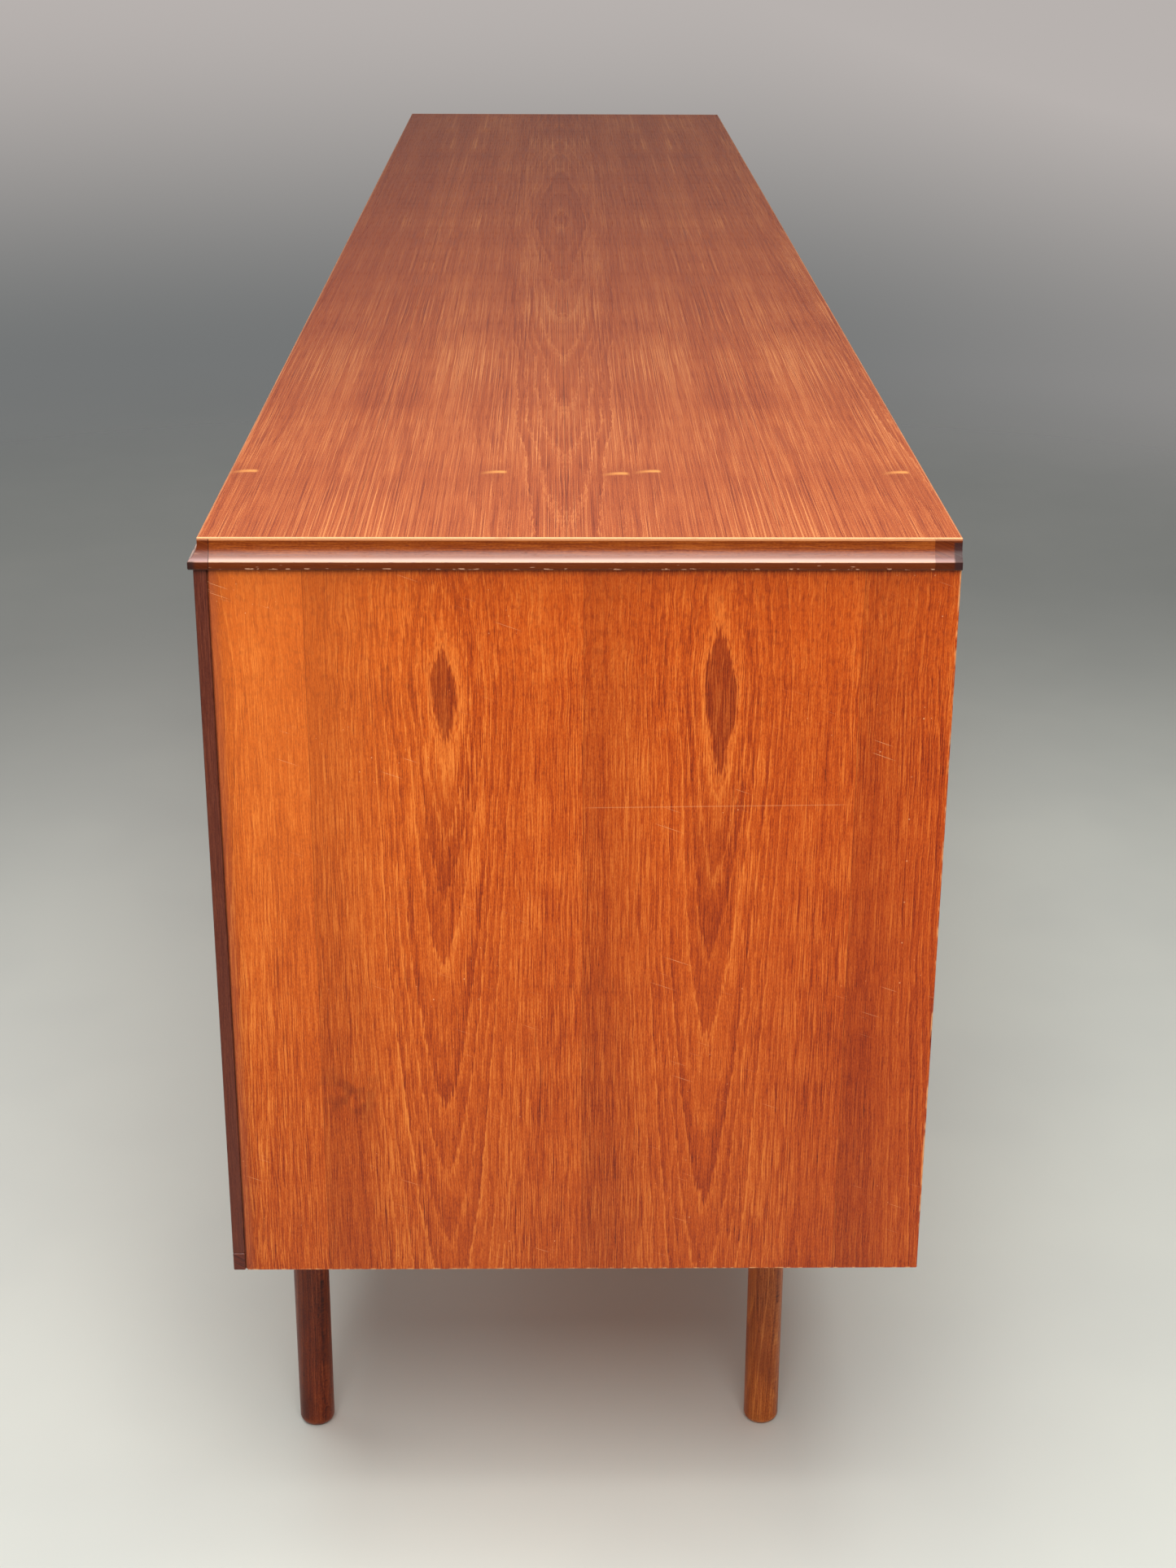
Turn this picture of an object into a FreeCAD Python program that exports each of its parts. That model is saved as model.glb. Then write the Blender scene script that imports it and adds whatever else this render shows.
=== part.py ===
"""A long teak sideboard: a veneered carcass on four turned legs, with a coved top, two bays
behind pairs of sliding doors, and a bank of drawers between them.

Millimetres, +Z up, X along the length, the front towards -Y. The origin is on the floor, under
the middle of the overall box. Every size is a cell of the sheet "Dims"; places that follow from
them are in DERIVED, and each piece is bound to both by its expressions.
"""

import FreeCAD, Part
import math
import os
import re

import Sketcher

doc = FreeCAD.newDocument("sideboard")
sheet = doc.addObject("Spreadsheet::Sheet", "Dims")
V = FreeCAD.Vector

# ---------------------------------------------------------------- driving dimensions

DIMS = [
    ("overall_length", 2295, "over the lips of the top"),
    ("overall_depth", 456, "front lip to back"),
    ("overall_height", 780, "floor to top surface"),
    ("leg_height", 279, "floor to the underside of the carcass"),
    ("arris", 0.5, "softening of board edges"),
    ("past", 1, "how far a cutting room runs past the wood that it cuts"),
    # top
    ("top_thickness", 18.4, "with its veneer"),
    ("veneer", 0.9, "sheet laid over the core and its lippings"),
    ("lip_out", 5.5, "lip of the cove beyond the edge of the top surface"),
    ("lip_height", 5.2, "upright band of the lip"),
    ("lip_round", 1.2, "rounded lower edge of the lip"),
    ("cove_start", 3.2, "top surface down to the start of the cove"),
    ("moulding_in", 6.8, "moulding inside the edge of the top surface"),
    ("rear_rail", 16.2, "width of the rail along the back of the top"),
    ("carcass_in", 2.8, "carcass faces inside the lip"),
    # carcass
    ("end_thickness", 20, ""),
    ("bottom_thickness", 20, ""),
    ("partition_thickness", 18, ""),
    ("strip_depth", 7.8, "solid strips on the front edges"),
    ("bottom_strip", 12.8, "height of the strip along the bottom"),
    ("quirk", 1.4, "groove between strip and end panel"),
    ("quirk_deep", 1.8, ""),
    ("drawer_bay", 460, "between the partitions"),
    ("back_thickness", 4, ""),
    ("back_seat", 10, "width of the rebate in the ends"),
    ("back_top_seat", 13.4, "height of the rebate in the top"),
    ("back_gap", 1, "between neighbouring back panels"),
    ("back_up", 1, "back panels above the underside of the carcass"),
    # sliding doors
    ("rail_height", 14, "upper track rail"),
    ("rail_margin", 6, "rail behind the rear door"),
    ("door_setback", 4, "front door behind the front face"),
    ("door_thickness", 14, ""),
    ("door_gap", 3, "between the two doors of a bay"),
    ("door_lap", 26, "overlap of closed doors"),
    ("door_side_gap", 1, ""),
    ("door_top_gap", 4, "room to lift a door out"),
    ("door_foot_gap", 1.5, ""),
    ("tongue", 6, "thickness of the door tongues"),
    ("tongue_down", 5.2, "below the door's shoulder"),
    ("tongue_up", 8.5, "above the door's shoulder"),
    ("groove_side", 0.3, "clearance beside a tongue"),
    ("sill_groove", 3.8, "depth of the lower grooves"),
    ("rail_groove", 9.5, "depth of the upper grooves"),
    ("grip_strip", 38, "solid edge of a door, with its finger hollow"),
    ("hollow_long", 230, "finger hollow"),
    ("hollow_wide", 23, ""),
    ("hollow_deep", 9, ""),
    # drawers, from the top
    ("drawer_one", 92, "height of the front"),
    ("drawer_two", 104, ""),
    ("drawer_three", 118, ""),
    ("drawer_space", 2, "between neighbouring fronts"),
    ("drawer_side_gap", 1, ""),
    ("front_thickness", 20, ""),
    ("grip_height", 34, "solid top edge of a drawer front"),
    ("grip_lip", 4.6, "thickness of the lip that the fingers hook"),
    ("grip_lip_top", 19, "top of that lip"),
    ("grip_lip_round", 1.6, ""),
    ("grip_hollow", 10.4, "width of the hollow behind the lip"),
    ("grip_floor", 4, "wood under the hollow"),
    ("box_gap", 1.6, "drawer box to partition"),
    ("box_behind", 33, "free behind the drawer box"),
    ("box_drop", 14, "top of the box below the top of the front"),
    ("box_foot", 5, "box above the bottom of the front"),
    ("side_thickness", 11, ""),
    ("drawer_back", 10, "thickness of the back of a box"),
    ("back_from_end", 8, "sides run on past the back"),
    ("ply", 4, "drawer bottom"),
    ("ply_up", 8, "drawer bottom above the bottom of the sides"),
    ("ply_seat", 5, "depth of the grooves that hold it"),
    ("ply_short", 1, "drawer bottom short of the ends of the sides"),
    ("tail_long", 12, "dovetails"),
    ("tail_wide", 15, ""),
    ("tail_neck", 10, ""),
    ("tail_pitch", 21, ""),
    ("runner_height", 9, ""),
    ("runner_in", 5, "runner inside the groove of the drawer side"),
    ("runner_clear", 0.4, ""),
    ("runner_start", 26, "runner behind the drawer front"),
    ("runner_short", 1, "runner short of the back panel"),
    # shelves
    ("shelf_thickness", 16, ""),
    ("shelf_up", 232, "top of the shelf above the floor of the bay"),
    ("shelf_clear", 1, ""),
    ("pin_radius", 2.5, ""),
    ("pin_in", 9, "in the hole"),
    ("pin_out", 8, "under the shelf"),
    ("pin_inset", 45, "from the edges of the shelf"),
    ("pin_hole_clear", 0.1, ""),
    ("pin_pitch", 48, "between the holes for other shelf heights"),
    # legs
    ("leg_radius", 13.7, "at the top"),
    ("foot_radius", 13.3, ""),
    ("foot_round", 6, ""),
    ("leg_from_end", 221, "leg centre from the end of the overall box"),
    ("leg_from_front", 28, ""),
    ("leg_from_back", 78, ""),
    ("plate_long", 66, "along the sideboard"),
    ("plate_wide", 38, ""),
    ("plate_thickness", 3, ""),
    ("boss_radius", 7, ""),
    ("boss_height", 8, ""),
    ("boss_clear", 1, ""),
    ("stud_radius", 4, ""),
    ("stud_in_leg", 28, ""),
    ("plate_screw_inset", 7.5, ""),
    # screws
    ("screw_head", 3.4, "radius"),
    ("screw_shank", 1.6, "radius"),
    ("screw_long", 15, ""),
    ("slot_wide", 0.9, ""),
    ("slot_deep", 0.8, ""),
    ("back_screw_pitch", 190, "most between neighbouring screws of the back"),
    ("back_screw_inset", 5, "from the edge of a back panel"),
    ("dowel_radius", 4, ""),
    ("dowel_long", 28, ""),
    ("dowel_inset", 60, "first and last dowel from the edge of a board"),
]

# Places that follow from the driving dimensions. Each may use the ones before it.
DERIVED = {
    "front": "-overall_depth/2",
    "back": "overall_depth/2",
    "top_half": "(overall_length/2 - lip_out)",
    "top_front": "(front + lip_out)",
    "top_under": "(overall_height - top_thickness)",
    "carcass_half": "(overall_length/2 - carcass_in)",
    "face": "(front + carcass_in)",
    "strip_back": "(face + strip_depth)",
    "ply_face": "(back - back_thickness)",
    "inner_half": "(carcass_half - end_thickness)",
    "bottom_top": "(leg_height + bottom_thickness)",
    "strip_top": "(leg_height + bottom_strip)",
    "rail_under": "(top_under - rail_height)",
    "bay_inner": "(drawer_bay/2 + partition_thickness)",
    "door_front": "(face + door_setback)",
    "rear_door_front": "(door_front + door_thickness + door_gap)",
    "rail_back": "(rear_door_front + door_thickness + rail_margin)",
    "door_width": "((inner_half - bay_inner + door_lap)/2 - door_side_gap)",
    "door_low": "(bottom_top + door_foot_gap)",
    "door_high": "(rail_under - door_top_gap)",
    "front_half": "(drawer_bay/2 - drawer_side_gap)",
    "box_half": "(drawer_bay/2 - box_gap)",
    "front_rear": "(door_front + front_thickness)",
    "box_end": "(ply_face - box_behind)",
    "shelf_top": "(bottom_top + shelf_up)",
    "pin_height": "(shelf_top - shelf_thickness - pin_radius)",
    "leg_x": "(overall_length/2 - leg_from_end)",
    "leg_front_y": "(front + leg_from_front)",
    "leg_back_y": "(back - leg_from_back)",
    "leg_top": "(leg_height - plate_thickness)",
}

for row, (alias, size, meaning) in enumerate(DIMS, start=1):
    sheet.set(f"A{row}", alias)
    sheet.set(f"B{row}", str(size))
    sheet.set(f"C{row}", meaning)
    sheet.setAlias(f"B{row}", alias)
doc.recompute()

ALIASES = {alias for alias, _, _ in DIMS}


def formula(text):
    """The expression for FreeCAD: aliases get their sheet's name, derived places their formula."""
    def expand(match):
        word = match.group(0)
        if word in DERIVED:
            return "(" + formula(DERIVED[word]) + ")"
        return "Dims." + word if word in ALIASES else word

    return re.sub(r"[a-z_]+", expand, text)


def value(text):
    """The expression's value now, as a number."""
    return float(sheet.evalExpression(formula(text)))


def bind(thing, **properties):
    """Binds each property to an expression; Base_x stands for Placement.Base.x."""
    for name, text in properties.items():
        if name.startswith("Base_"):
            name = "Placement.Base." + name[-1]
        thing.setExpression(name, formula(text))


# ---------------------------------------------------------------- ways to make a piece


def board(name, x, y, z, arris="arris"):
    """A board between two expressions along each axis, all its edges softened."""
    body = doc.addObject("PartDesign::Body", name)
    block = body.newObject("PartDesign::AdditiveBox", name + "_block")
    bind(block, Length=f"{x[1]} - ({x[0]})", Width=f"{y[1]} - ({y[0]})", Height=f"{z[1]} - ({z[0]})")
    bind(body, Base_x=x[0], Base_y=y[0], Base_z=z[0])
    doc.recompute()
    if arris:
        edges = body.newObject("PartDesign::Chamfer", name + "_arris")
        edges.Base = (block, [f"Edge{i}" for i in range(1, 13)])
        bind(edges, Size=arris)
        body.Tip = edges
    return body


def room(name, x, y, z):
    """A plain box that only serves to cut or keep material."""
    block = doc.addObject("Part::Box", name)
    bind(block, Length=f"{x[1]} - ({x[0]})", Width=f"{y[1]} - ({y[0]})", Height=f"{z[1]} - ({z[0]})")
    bind(block, Base_x=x[0], Base_y=y[0], Base_z=z[0])
    return block


def outline(body, name, plane, corners, start="0"):
    """A closed sketch on one of the body's origin planes, moved along that plane's normal.

    A corner is (u, v), or (u, v, radius, side) where the edge that leads to it is an arc whose
    centre is to the left (side 1) or the right (side -1) of the way from the corner before.
    """
    sketch = body.newObject("Sketcher::SketchObject", name)
    feature = next(f for f in body.Origin.OriginFeatures if f.Role == plane)
    sketch.AttachmentSupport = (feature, [""])
    sketch.MapMode = "FlatFace"
    sketch.setExpression("AttachmentOffset.Base.z", formula(start))
    places = [V(value(c[0]), value(c[1]), 0) for c in corners]
    ends = []
    for i, corner in enumerate(corners):
        here, before = places[i], places[i - 1]
        if len(corner) == 2:
            sketch.addGeometry(Part.LineSegment(before, here), False)
            ends.append((1, 2))
            continue
        radius, side = value(corner[2]), corner[3]
        middle, half = (before + here) / 2, (here - before) / 2
        left = V(-half.y, half.x, 0).normalize()
        centre = middle + left * side * math.sqrt(max(radius**2 - half.Length**2, 0))
        order = (before, here) if side > 0 else (here, before)
        turns = [math.atan2(p.y - centre.y, p.x - centre.x) for p in order]
        circle = Part.Circle(centre, V(0, 0, 1), radius)
        sketch.addGeometry(Part.ArcOfCircle(circle, *turns), False)
        ends.append((1, 2) if side > 0 else (2, 1))
    for i, corner in enumerate(corners):
        last = (i - 1) % len(corners)
        sketch.addConstraint(Sketcher.Constraint("Coincident", last, ends[last][1], i, ends[i][0]))
        across, up = ("DistanceX", corner[0], places[i].x), ("DistanceY", corner[1], places[i].y)
        for kind, text, size in (across, up):
            k = sketch.addConstraint(Sketcher.Constraint(kind, -1, 1, i, ends[i][1], size))
            sketch.setExpression(f"Constraints[{k}]", formula(text))
        if len(corner) > 2:
            k = sketch.addConstraint(Sketcher.Constraint("Radius", i, value(corner[2])))
            sketch.setExpression(f"Constraints[{k}]", formula(corner[2]))
    doc.recompute()
    return sketch


def moulded(name, plane, corners, start, end):
    """A length of one cross-section, from start to end along the plane's normal."""
    body = doc.addObject("PartDesign::Body", name)
    sketch = outline(body, name + "_section", plane, corners, start)
    pad = body.newObject("PartDesign::Pad", name + "_length")
    pad.Profile = sketch
    bind(pad, Length=f"{end} - ({start})")
    doc.recompute()
    return body


def turned(name, corners):
    """A solid of revolution about Z; the corners are (radius, height)."""
    body = doc.addObject("PartDesign::Body", name)
    sketch = outline(body, name + "_profile", "XZ_Plane", corners)
    spin = body.newObject("PartDesign::Revolution", name + "_turning")
    spin.Profile = sketch
    spin.ReferenceAxis = (sketch, ["V_Axis"])
    spin.Angle = 360
    doc.recompute()
    return body


def together(name, pieces, kind="Part::Compound"):
    """Pieces grouped as they are or, with Part::MultiFuse, joined into one solid."""
    group = doc.addObject(kind, name)
    if kind == "Part::Compound":
        group.Links = pieces
    else:
        group.Shapes = pieces
    return group


def less(name, base, *tools):
    """The base with the tools' shapes taken out of it."""
    cut = doc.addObject("Part::Cut", name)
    cut.Base = base
    cut.Tool = tools[0] if len(tools) == 1 else together(name + "_tools", list(tools), "Part::MultiFuse")
    return cut


def kept(name, base, keep):
    """What of the base lies inside another shape."""
    common = doc.addObject("Part::Common", name)
    common.Base = base
    common.Tool = keep
    return common


def mirrored(name, source):
    """The piece's twin on the other side of the middle."""
    twin = doc.addObject("Part::Mirroring", name)
    twin.Source = source
    twin.Normal = V(1, 0, 0)
    return twin


def scattered(name, pattern, places):
    """Copies of one small piece as one object: each place is a position and the way it points."""
    doc.recompute()
    copies = []
    for position, toward in places:
        copy = pattern.Shape.copy()
        where = FreeCAD.Placement(V(*position), FreeCAD.Rotation(V(0, 0, 1), V(*toward)))
        copy.Placement = where.multiply(copy.Placement)
        copies.append(copy)
    group = doc.addObject("Part::Feature", name)
    group.Shape = Part.makeCompound(copies)
    return group


def spaced(low, high, pitch):
    """Evenly spaced numbers from low to high, no further apart than pitch."""
    gaps = max(1, math.ceil((high - low) / pitch))
    return [low + (high - low) * i / gaps for i in range(gaps + 1)]


nodes = {}


def node(name, piece):
    """Names a finished piece of the sideboard."""
    piece.Label = name
    nodes[name] = piece
    return piece


# ---------------------------------------------------------------- fasteners' patterns


def screw_pattern():
    """A slotted countersunk screw, head up at the origin, shank down -Z."""
    cone = "(screw_head - screw_shank)"
    body = turned("screw_pattern", [
        ("0", "-screw_long"),
        ("screw_shank", "-screw_long + 2*screw_shank"),
        ("screw_shank", f"-{cone}"),
        ("screw_head", "0"),
        ("0", "0"),
    ])
    slot = room(
        "screw_slot",
        ("-screw_head", "screw_head"),
        ("-slot_wide/2", "slot_wide/2"),
        ("-slot_deep", "slot_deep"),
    )
    return less("screw_slotted", body, slot)


def dowel_pattern():
    body = doc.addObject("Part::Cylinder", "dowel_pattern")
    bind(body, Radius="dowel_radius", Height="dowel_long", Base_z="-dowel_long/2")
    return body


# ---------------------------------------------------------------- top


def turned_round(corners):
    """The same outline walked the other way: each arc moves to the corner at its other end."""
    back = [corners[-1][:2]]
    for i in range(len(corners) - 1, 0, -1):
        arc = corners[i][2:]
        back.append(corners[i - 1][:2] + ((arc[0], -arc[1]) if arc else ()))
    return back


def make_top():
    """The coved edge is cut round the front and both ends of one blank, then the blank is
    divided into its lippings and the rail along the back."""
    drop = "(top_thickness - lip_height - cove_start)"
    cove = f"((lip_out^2 + {drop}^2)/(2*lip_out))"
    under_veneer, lip_top = "(overall_height - veneer)", "(top_under + lip_height)"

    def edge(outer, side):
        """The cove's corners, from the top down; side is 1 where outwards is towards minus."""
        return [
            (outer(0), under_veneer),
            (outer(0), "overall_height - cove_start"),
            (outer("lip_out"), lip_top, cove, -side),
            (outer("lip_out"), "top_under + lip_round"),
            (outer("lip_out - lip_round"), "top_under", "lip_round", side),
        ]

    front_way = edge(lambda out: f"top_front - ({out})", 1)
    right_way = edge(lambda out: f"top_half + ({out})", -1)
    left_way = edge(lambda out: f"-top_half - ({out})", 1)
    long = moulded(
        "top_blank_long", "YZ_Plane", front_way + [("back", "top_under"), ("back", under_veneer)],
        "-overall_length/2", "overall_length/2",
    )
    # The XZ plane's normal is -Y, so this one runs from the back to the front.
    wide = moulded("top_blank_wide", "XZ_Plane", left_way + turned_round(right_way), "-(back)", "-(front)")
    blank = kept("top_blank", long, wide)

    inner_x, inner_front = "(top_half - moulding_in)", "(top_front + moulding_in)"
    rail_front = "(back - rear_rail)"
    whole = ("top_under - past", "overall_height")
    full = ("-overall_length", "overall_length")
    node("top_moulding_front", kept("moulding_front", blank, room(
        "keep_front", full, ("front - past", inner_front), whole)))
    left = node("top_moulding_left", kept("moulding_left", blank, room(
        "keep_left", ("-overall_length", f"-{inner_x}"), (inner_front, rail_front), whole)))
    node("top_moulding_right", mirrored("moulding_right", left))
    node("top_core", kept("core", blank, room(
        "keep_core", (f"-{inner_x}", inner_x), (inner_front, rail_front), whole)))

    seat = room(
        "back_seat_in_top", full, ("ply_face", "back + past"),
        ("top_under - past", "top_under + back_top_seat"),
    )
    rail = kept("rear_rail_blank", blank, room("keep_rail", full, (rail_front, "back"), whole))
    node("top_rear_rail", less("rear_rail_seated", rail, seat))
    corner = kept("rear_block_left", blank, room(
        "keep_block", ("-overall_length", "-(carcass_half - back_seat)"), ("ply_face", "back"),
        ("top_under", "top_under + back_top_seat")))
    node("top_rear_blocks", together("rear_blocks", [corner, mirrored("rear_block_right", corner)]))
    node("top_veneer", board(
        "veneer_sheet", ("-top_half", "top_half"), ("top_front", "back"), (under_veneer, "overall_height"),
        arris="veneer/3"))


# ---------------------------------------------------------------- carcass


def make_ends(pins):
    """End panels with the groove beside their front strips, the rebate for the back and the
    holes for the shelf pins."""
    across, upright = ("-carcass_half", "-inner_half"), ("leg_height - past", "top_under + past")
    blank = board("end_blank", across, ("strip_back", "back"), ("leg_height", "top_under"))
    quirk = room(
        "quirk_left", ("-carcass_half - past", "-carcass_half + quirk_deep"),
        ("strip_back - past", "strip_back + quirk"), upright,
    )
    seat = room(
        "back_seat_left", ("-(carcass_half - back_seat)", "-inner_half + past"),
        ("ply_face", "back + past"), upright,
    )
    end = node("end_panel_left", less("end_left", blank, quirk, seat, pins, nodes["carcass_dowels"]))
    node("end_panel_right", mirrored("end_right", end))
    strip = node("front_strip_left", board(
        "strip_left", across, ("face", "strip_back"), ("strip_top", "top_under")))
    node("front_strip_right", mirrored("strip_right", strip))


def make_bottom():
    """The bottom, its front strip, and the two track rails that the doors run in."""
    across, track = ("-inner_half", "inner_half"), ("face", "rail_back")
    blank = board("bottom_blank", across, ("strip_back", "ply_face"), ("leg_height", "bottom_top"))
    seat = room(
        "sill_seat", ("-inner_half - past", "inner_half + past"), track,
        ("strip_top", "bottom_top + past"),
    )
    boss = ("leg_height - past", "leg_height + boss_height + boss_clear")
    bosses = together("boss_rooms", [
        at_leg(f"boss_room_{i}", "boss_radius + boss_clear", boss, i) for i in range(len(LEGS))
    ])
    node("bottom_panel", less("bottom", blank, seat, bosses, nodes["carcass_dowels"]))
    node("bottom_front_strip", board(
        "bottom_strip_board", ("-carcass_half", "carcass_half"), ("face", "strip_back"),
        ("leg_height", "strip_top")))

    tongues = [("front", "door_front"), ("rear", "rear_door_front")]

    def grooves(name, low, high):
        """One groove for each door plane, in both bays, stopped at the partitions."""
        made = []
        for plane, front in tongues:
            near = f"{front} + (door_thickness - tongue)/2 - groove_side"
            far = f"{front} + (door_thickness + tongue)/2 + groove_side"
            left = room(f"{name}_{plane}", ("-inner_half - past", "-bay_inner"), (near, far), (low, high))
            made += [left, mirrored(f"{name}_{plane}_right", left)]
        return made

    sill = board("sill_blank", across, track, ("strip_top", "bottom_top"))
    lower = grooves("sill_groove_cut", "bottom_top - sill_groove", "bottom_top + past")
    node("lower_track_rail", less("sill", sill, *lower))
    rail = board("rail_blank", across, track, ("rail_under", "top_under"))
    upper = grooves("rail_groove_cut", "rail_under - past", "rail_under + rail_groove")
    node("upper_track_rail", less("rail", rail, *upper))


def make_partitions(pins):
    """Partitions either side of the drawers, notched under the upper rail."""
    span = ("-bay_inner", "-drawer_bay/2")
    blank = board("partition_blank", span, ("strip_back", "ply_face"), ("bottom_top", "top_under"))
    notch = room(
        "partition_notch", ("-bay_inner - past", "-drawer_bay/2 + past"),
        ("strip_back - past", "rail_back"), ("rail_under", "top_under + past"),
    )
    left = node("partition_left", less("partition", blank, notch, pins, nodes["carcass_dowels"]))
    node("partition_right", mirrored("partition_twin", left))
    strip = board("partition_strip", span, ("face", "strip_back"), ("bottom_top", "rail_under"))
    pair = [strip, mirrored("partition_strip_twin", strip)]
    node("partition_strips", together("partition_strip_pair", pair))


def make_dowels(pattern):
    """Dowels that hold the bottom to the ends and the partitions to the bottom."""
    end, mid_bottom = value("inner_half"), value("leg_height + (strip_top - leg_height)/2")
    depth = [value("strip_back + dowel_inset"), value("ply_face - dowel_inset")]
    rows = spaced(*depth, (depth[1] - depth[0]) / 2)
    partition = value("(bay_inner + drawer_bay/2)/2")
    places = [((side * end, y, mid_bottom), (1, 0, 0)) for side in (-1, 1) for y in rows]
    places += [((side * partition, y, value("bottom_top")), (0, 0, 1)) for side in (-1, 1) for y in rows]
    node("carcass_dowels", scattered("dowels", pattern, places))


def make_back(screw):
    """Three thin panels screwed to the rebates, the bottom and the partitions."""
    seam = "(bay_inner + drawer_bay/2)/2"
    low, high = "leg_height + back_up", "top_under + back_top_seat"
    edges = [
        ("-(carcass_half - back_seat)", f"-({seam}) - back_gap/2"),
        (f"-({seam}) + back_gap/2", f"{seam} - back_gap/2"),
        (f"{seam} + back_gap/2", "carcass_half - back_seat"),
    ]
    places = []
    inset, pitch = value("back_screw_inset"), value("back_screw_pitch")
    for x0, x1 in edges:
        xs = spaced(value(x0) + inset, value(x1) - inset, pitch)
        zs = spaced(value(low) + inset, value(high) - inset, pitch)
        around = [(x, z) for x in xs for z in (zs[0], zs[-1])]
        around += [(x, z) for x in (xs[0], xs[-1]) for z in zs[1:-1]]
        places += [((x, value("back"), z), (0, 1, 0)) for x, z in around]
    screws = node("back_panel_screws", scattered("back_screws", screw, places))
    panels = []
    for name, (x0, x1) in zip(("left", "middle", "right"), edges):
        panel = board(f"back_{name}", (x0, x1), ("ply_face", "back"), (low, high), arris="arris/2")
        panels.append(less(f"back_{name}_holed", panel, screws))
    node("back_panels", together("back_panel_group", panels))


SPARE_HOLES = 2  # above each shelf pin and below it, for other heights of the shelf


def pin_places():
    """X, the way out of the hole along X, and Y of each pin under the left shelf."""
    depths = [value("rail_back + shelf_clear + pin_inset"), value("ply_face - shelf_clear - pin_inset")]
    faces = [(-value("inner_half"), 1), (-value("bay_inner"), -1)]
    return [(x, way, y) for x, way in faces for y in depths]


def make_pins():
    """Brass shelf pins, and the rods that drill the rows of holes for them."""
    pin = doc.addObject("Part::Cylinder", "pin_pattern")
    bind(pin, Radius="pin_radius", Height="pin_in + pin_out", Base_z="-pin_in")
    drill = doc.addObject("Part::Cylinder", "pin_drill")
    bind(drill, Radius="pin_radius + pin_hole_clear", Height="pin_in + 2*past", Base_z="-(pin_in + past)")
    height, pitch = value("pin_height"), value("pin_pitch")
    used, holes = [], []
    for x, way, y in pin_places():
        used += [((side * x, y, height), (side * way, 0, 0)) for side in (1, -1)]
        steps = range(-SPARE_HOLES, SPARE_HOLES + 1)
        holes += [((x, y, height + k * pitch), (way, 0, 0)) for k in steps]
    node("shelf_pins", scattered("pins", pin, used))
    return scattered("pin_holes", drill, holes)


def make_shelves():
    shelf = node("shelf_left", board(
        "shelf", ("-inner_half + shelf_clear", "-bay_inner - shelf_clear"),
        ("rail_back + shelf_clear", "ply_face - shelf_clear"),
        ("shelf_top - shelf_thickness", "shelf_top")))
    node("shelf_right", mirrored("shelf_twin", shelf))


# ---------------------------------------------------------------- sliding doors


def make_door(which, front, x0, x1, grip_first):
    """A door with a tongue along its top and foot, and a solid edge with a finger hollow."""
    shoulder, far = front, f"({front} + door_thickness)"
    near_t = f"({front} + (door_thickness - tongue)/2)"
    far_t = f"({front} + (door_thickness + tongue)/2)"
    section = [
        (shoulder, "door_low"), (near_t, "door_low"), (near_t, "door_low - tongue_down"),
        (far_t, "door_low - tongue_down"), (far_t, "door_low"), (far, "door_low"),
        (far, "door_high"), (far_t, "door_high"), (far_t, "door_high + tongue_up"),
        (near_t, "door_high + tongue_up"), (near_t, "door_high"), (shoulder, "door_high"),
    ]
    if grip_first:
        grip, panel = (x0, f"{x0} + grip_strip"), (f"{x0} + grip_strip", x1)
    else:
        grip, panel = (f"{x1} - grip_strip", x1), (x0, f"{x1} - grip_strip")
    left = node(f"door_left_{which}", moulded(f"door_{which}", "YZ_Plane", section, *panel))
    node(f"door_right_{which}", mirrored(f"door_{which}_twin", left))

    blank = moulded(f"grip_{which}_blank", "YZ_Plane", section, *grip)
    hollow = doc.addObject("Part::Ellipsoid", f"hollow_{which}")
    # Radius1 lies along the ellipsoid's own Z, Radius2 along X and Radius3 along Y.
    bind(hollow, Radius1="hollow_long/2", Radius2="hollow_wide/2", Radius3="hollow_deep",
         Base_x=f"({grip[0]} + {grip[1]})/2", Base_y=front, Base_z="(door_low + door_high)/2")
    left = node(f"door_grip_left_{which}", less(f"grip_{which}", blank, hollow))
    node(f"door_grip_right_{which}", mirrored(f"grip_{which}_twin", left))


def make_doors():
    outer, inner = "-(inner_half - door_side_gap)", "-(bay_inner + door_side_gap)"
    make_door("outer", "door_front", outer, f"{outer} + door_width", grip_first=True)
    make_door("inner", "rear_door_front", f"{inner} - door_width", inner, grip_first=False)


# ---------------------------------------------------------------- drawers

DRAWERS = ("one", "two", "three", "four")


def drawer_span(number):
    """Bottom and top of a drawer front; the lowest takes what height is left."""
    high = "rail_under - drawer_space"
    for name in DRAWERS[:number]:
        high += f" - drawer_{name} - drawer_space"
    if DRAWERS[number] == DRAWERS[-1]:
        return "bottom_top + drawer_space", high
    return f"{high} - drawer_{DRAWERS[number]}", high


def drawer_side_outline(low, high, board_top):
    """The side's outline in Y and Z, with dovetails along its front end."""
    near, far = "front_rear", "box_end"
    foot, head = f"{low} + box_foot", f"{high} - box_drop"
    room_for = value(f"{board_top} - ({foot})")
    tails = max(1, int(room_for // value("tail_pitch")))
    corners = [(far, foot), (far, head), (near, head)]
    for k in reversed(range(tails)):
        middle = f"({foot} + tail_pitch*{k + 0.5})"
        corners += [
            (near, f"{middle} + tail_neck/2"), (f"{near} - tail_long", f"{middle} + tail_wide/2"),
            (f"{near} - tail_long", f"{middle} - tail_wide/2"), (near, f"{middle} - tail_neck/2"),
        ]
    return corners + [(near, foot)]


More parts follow.
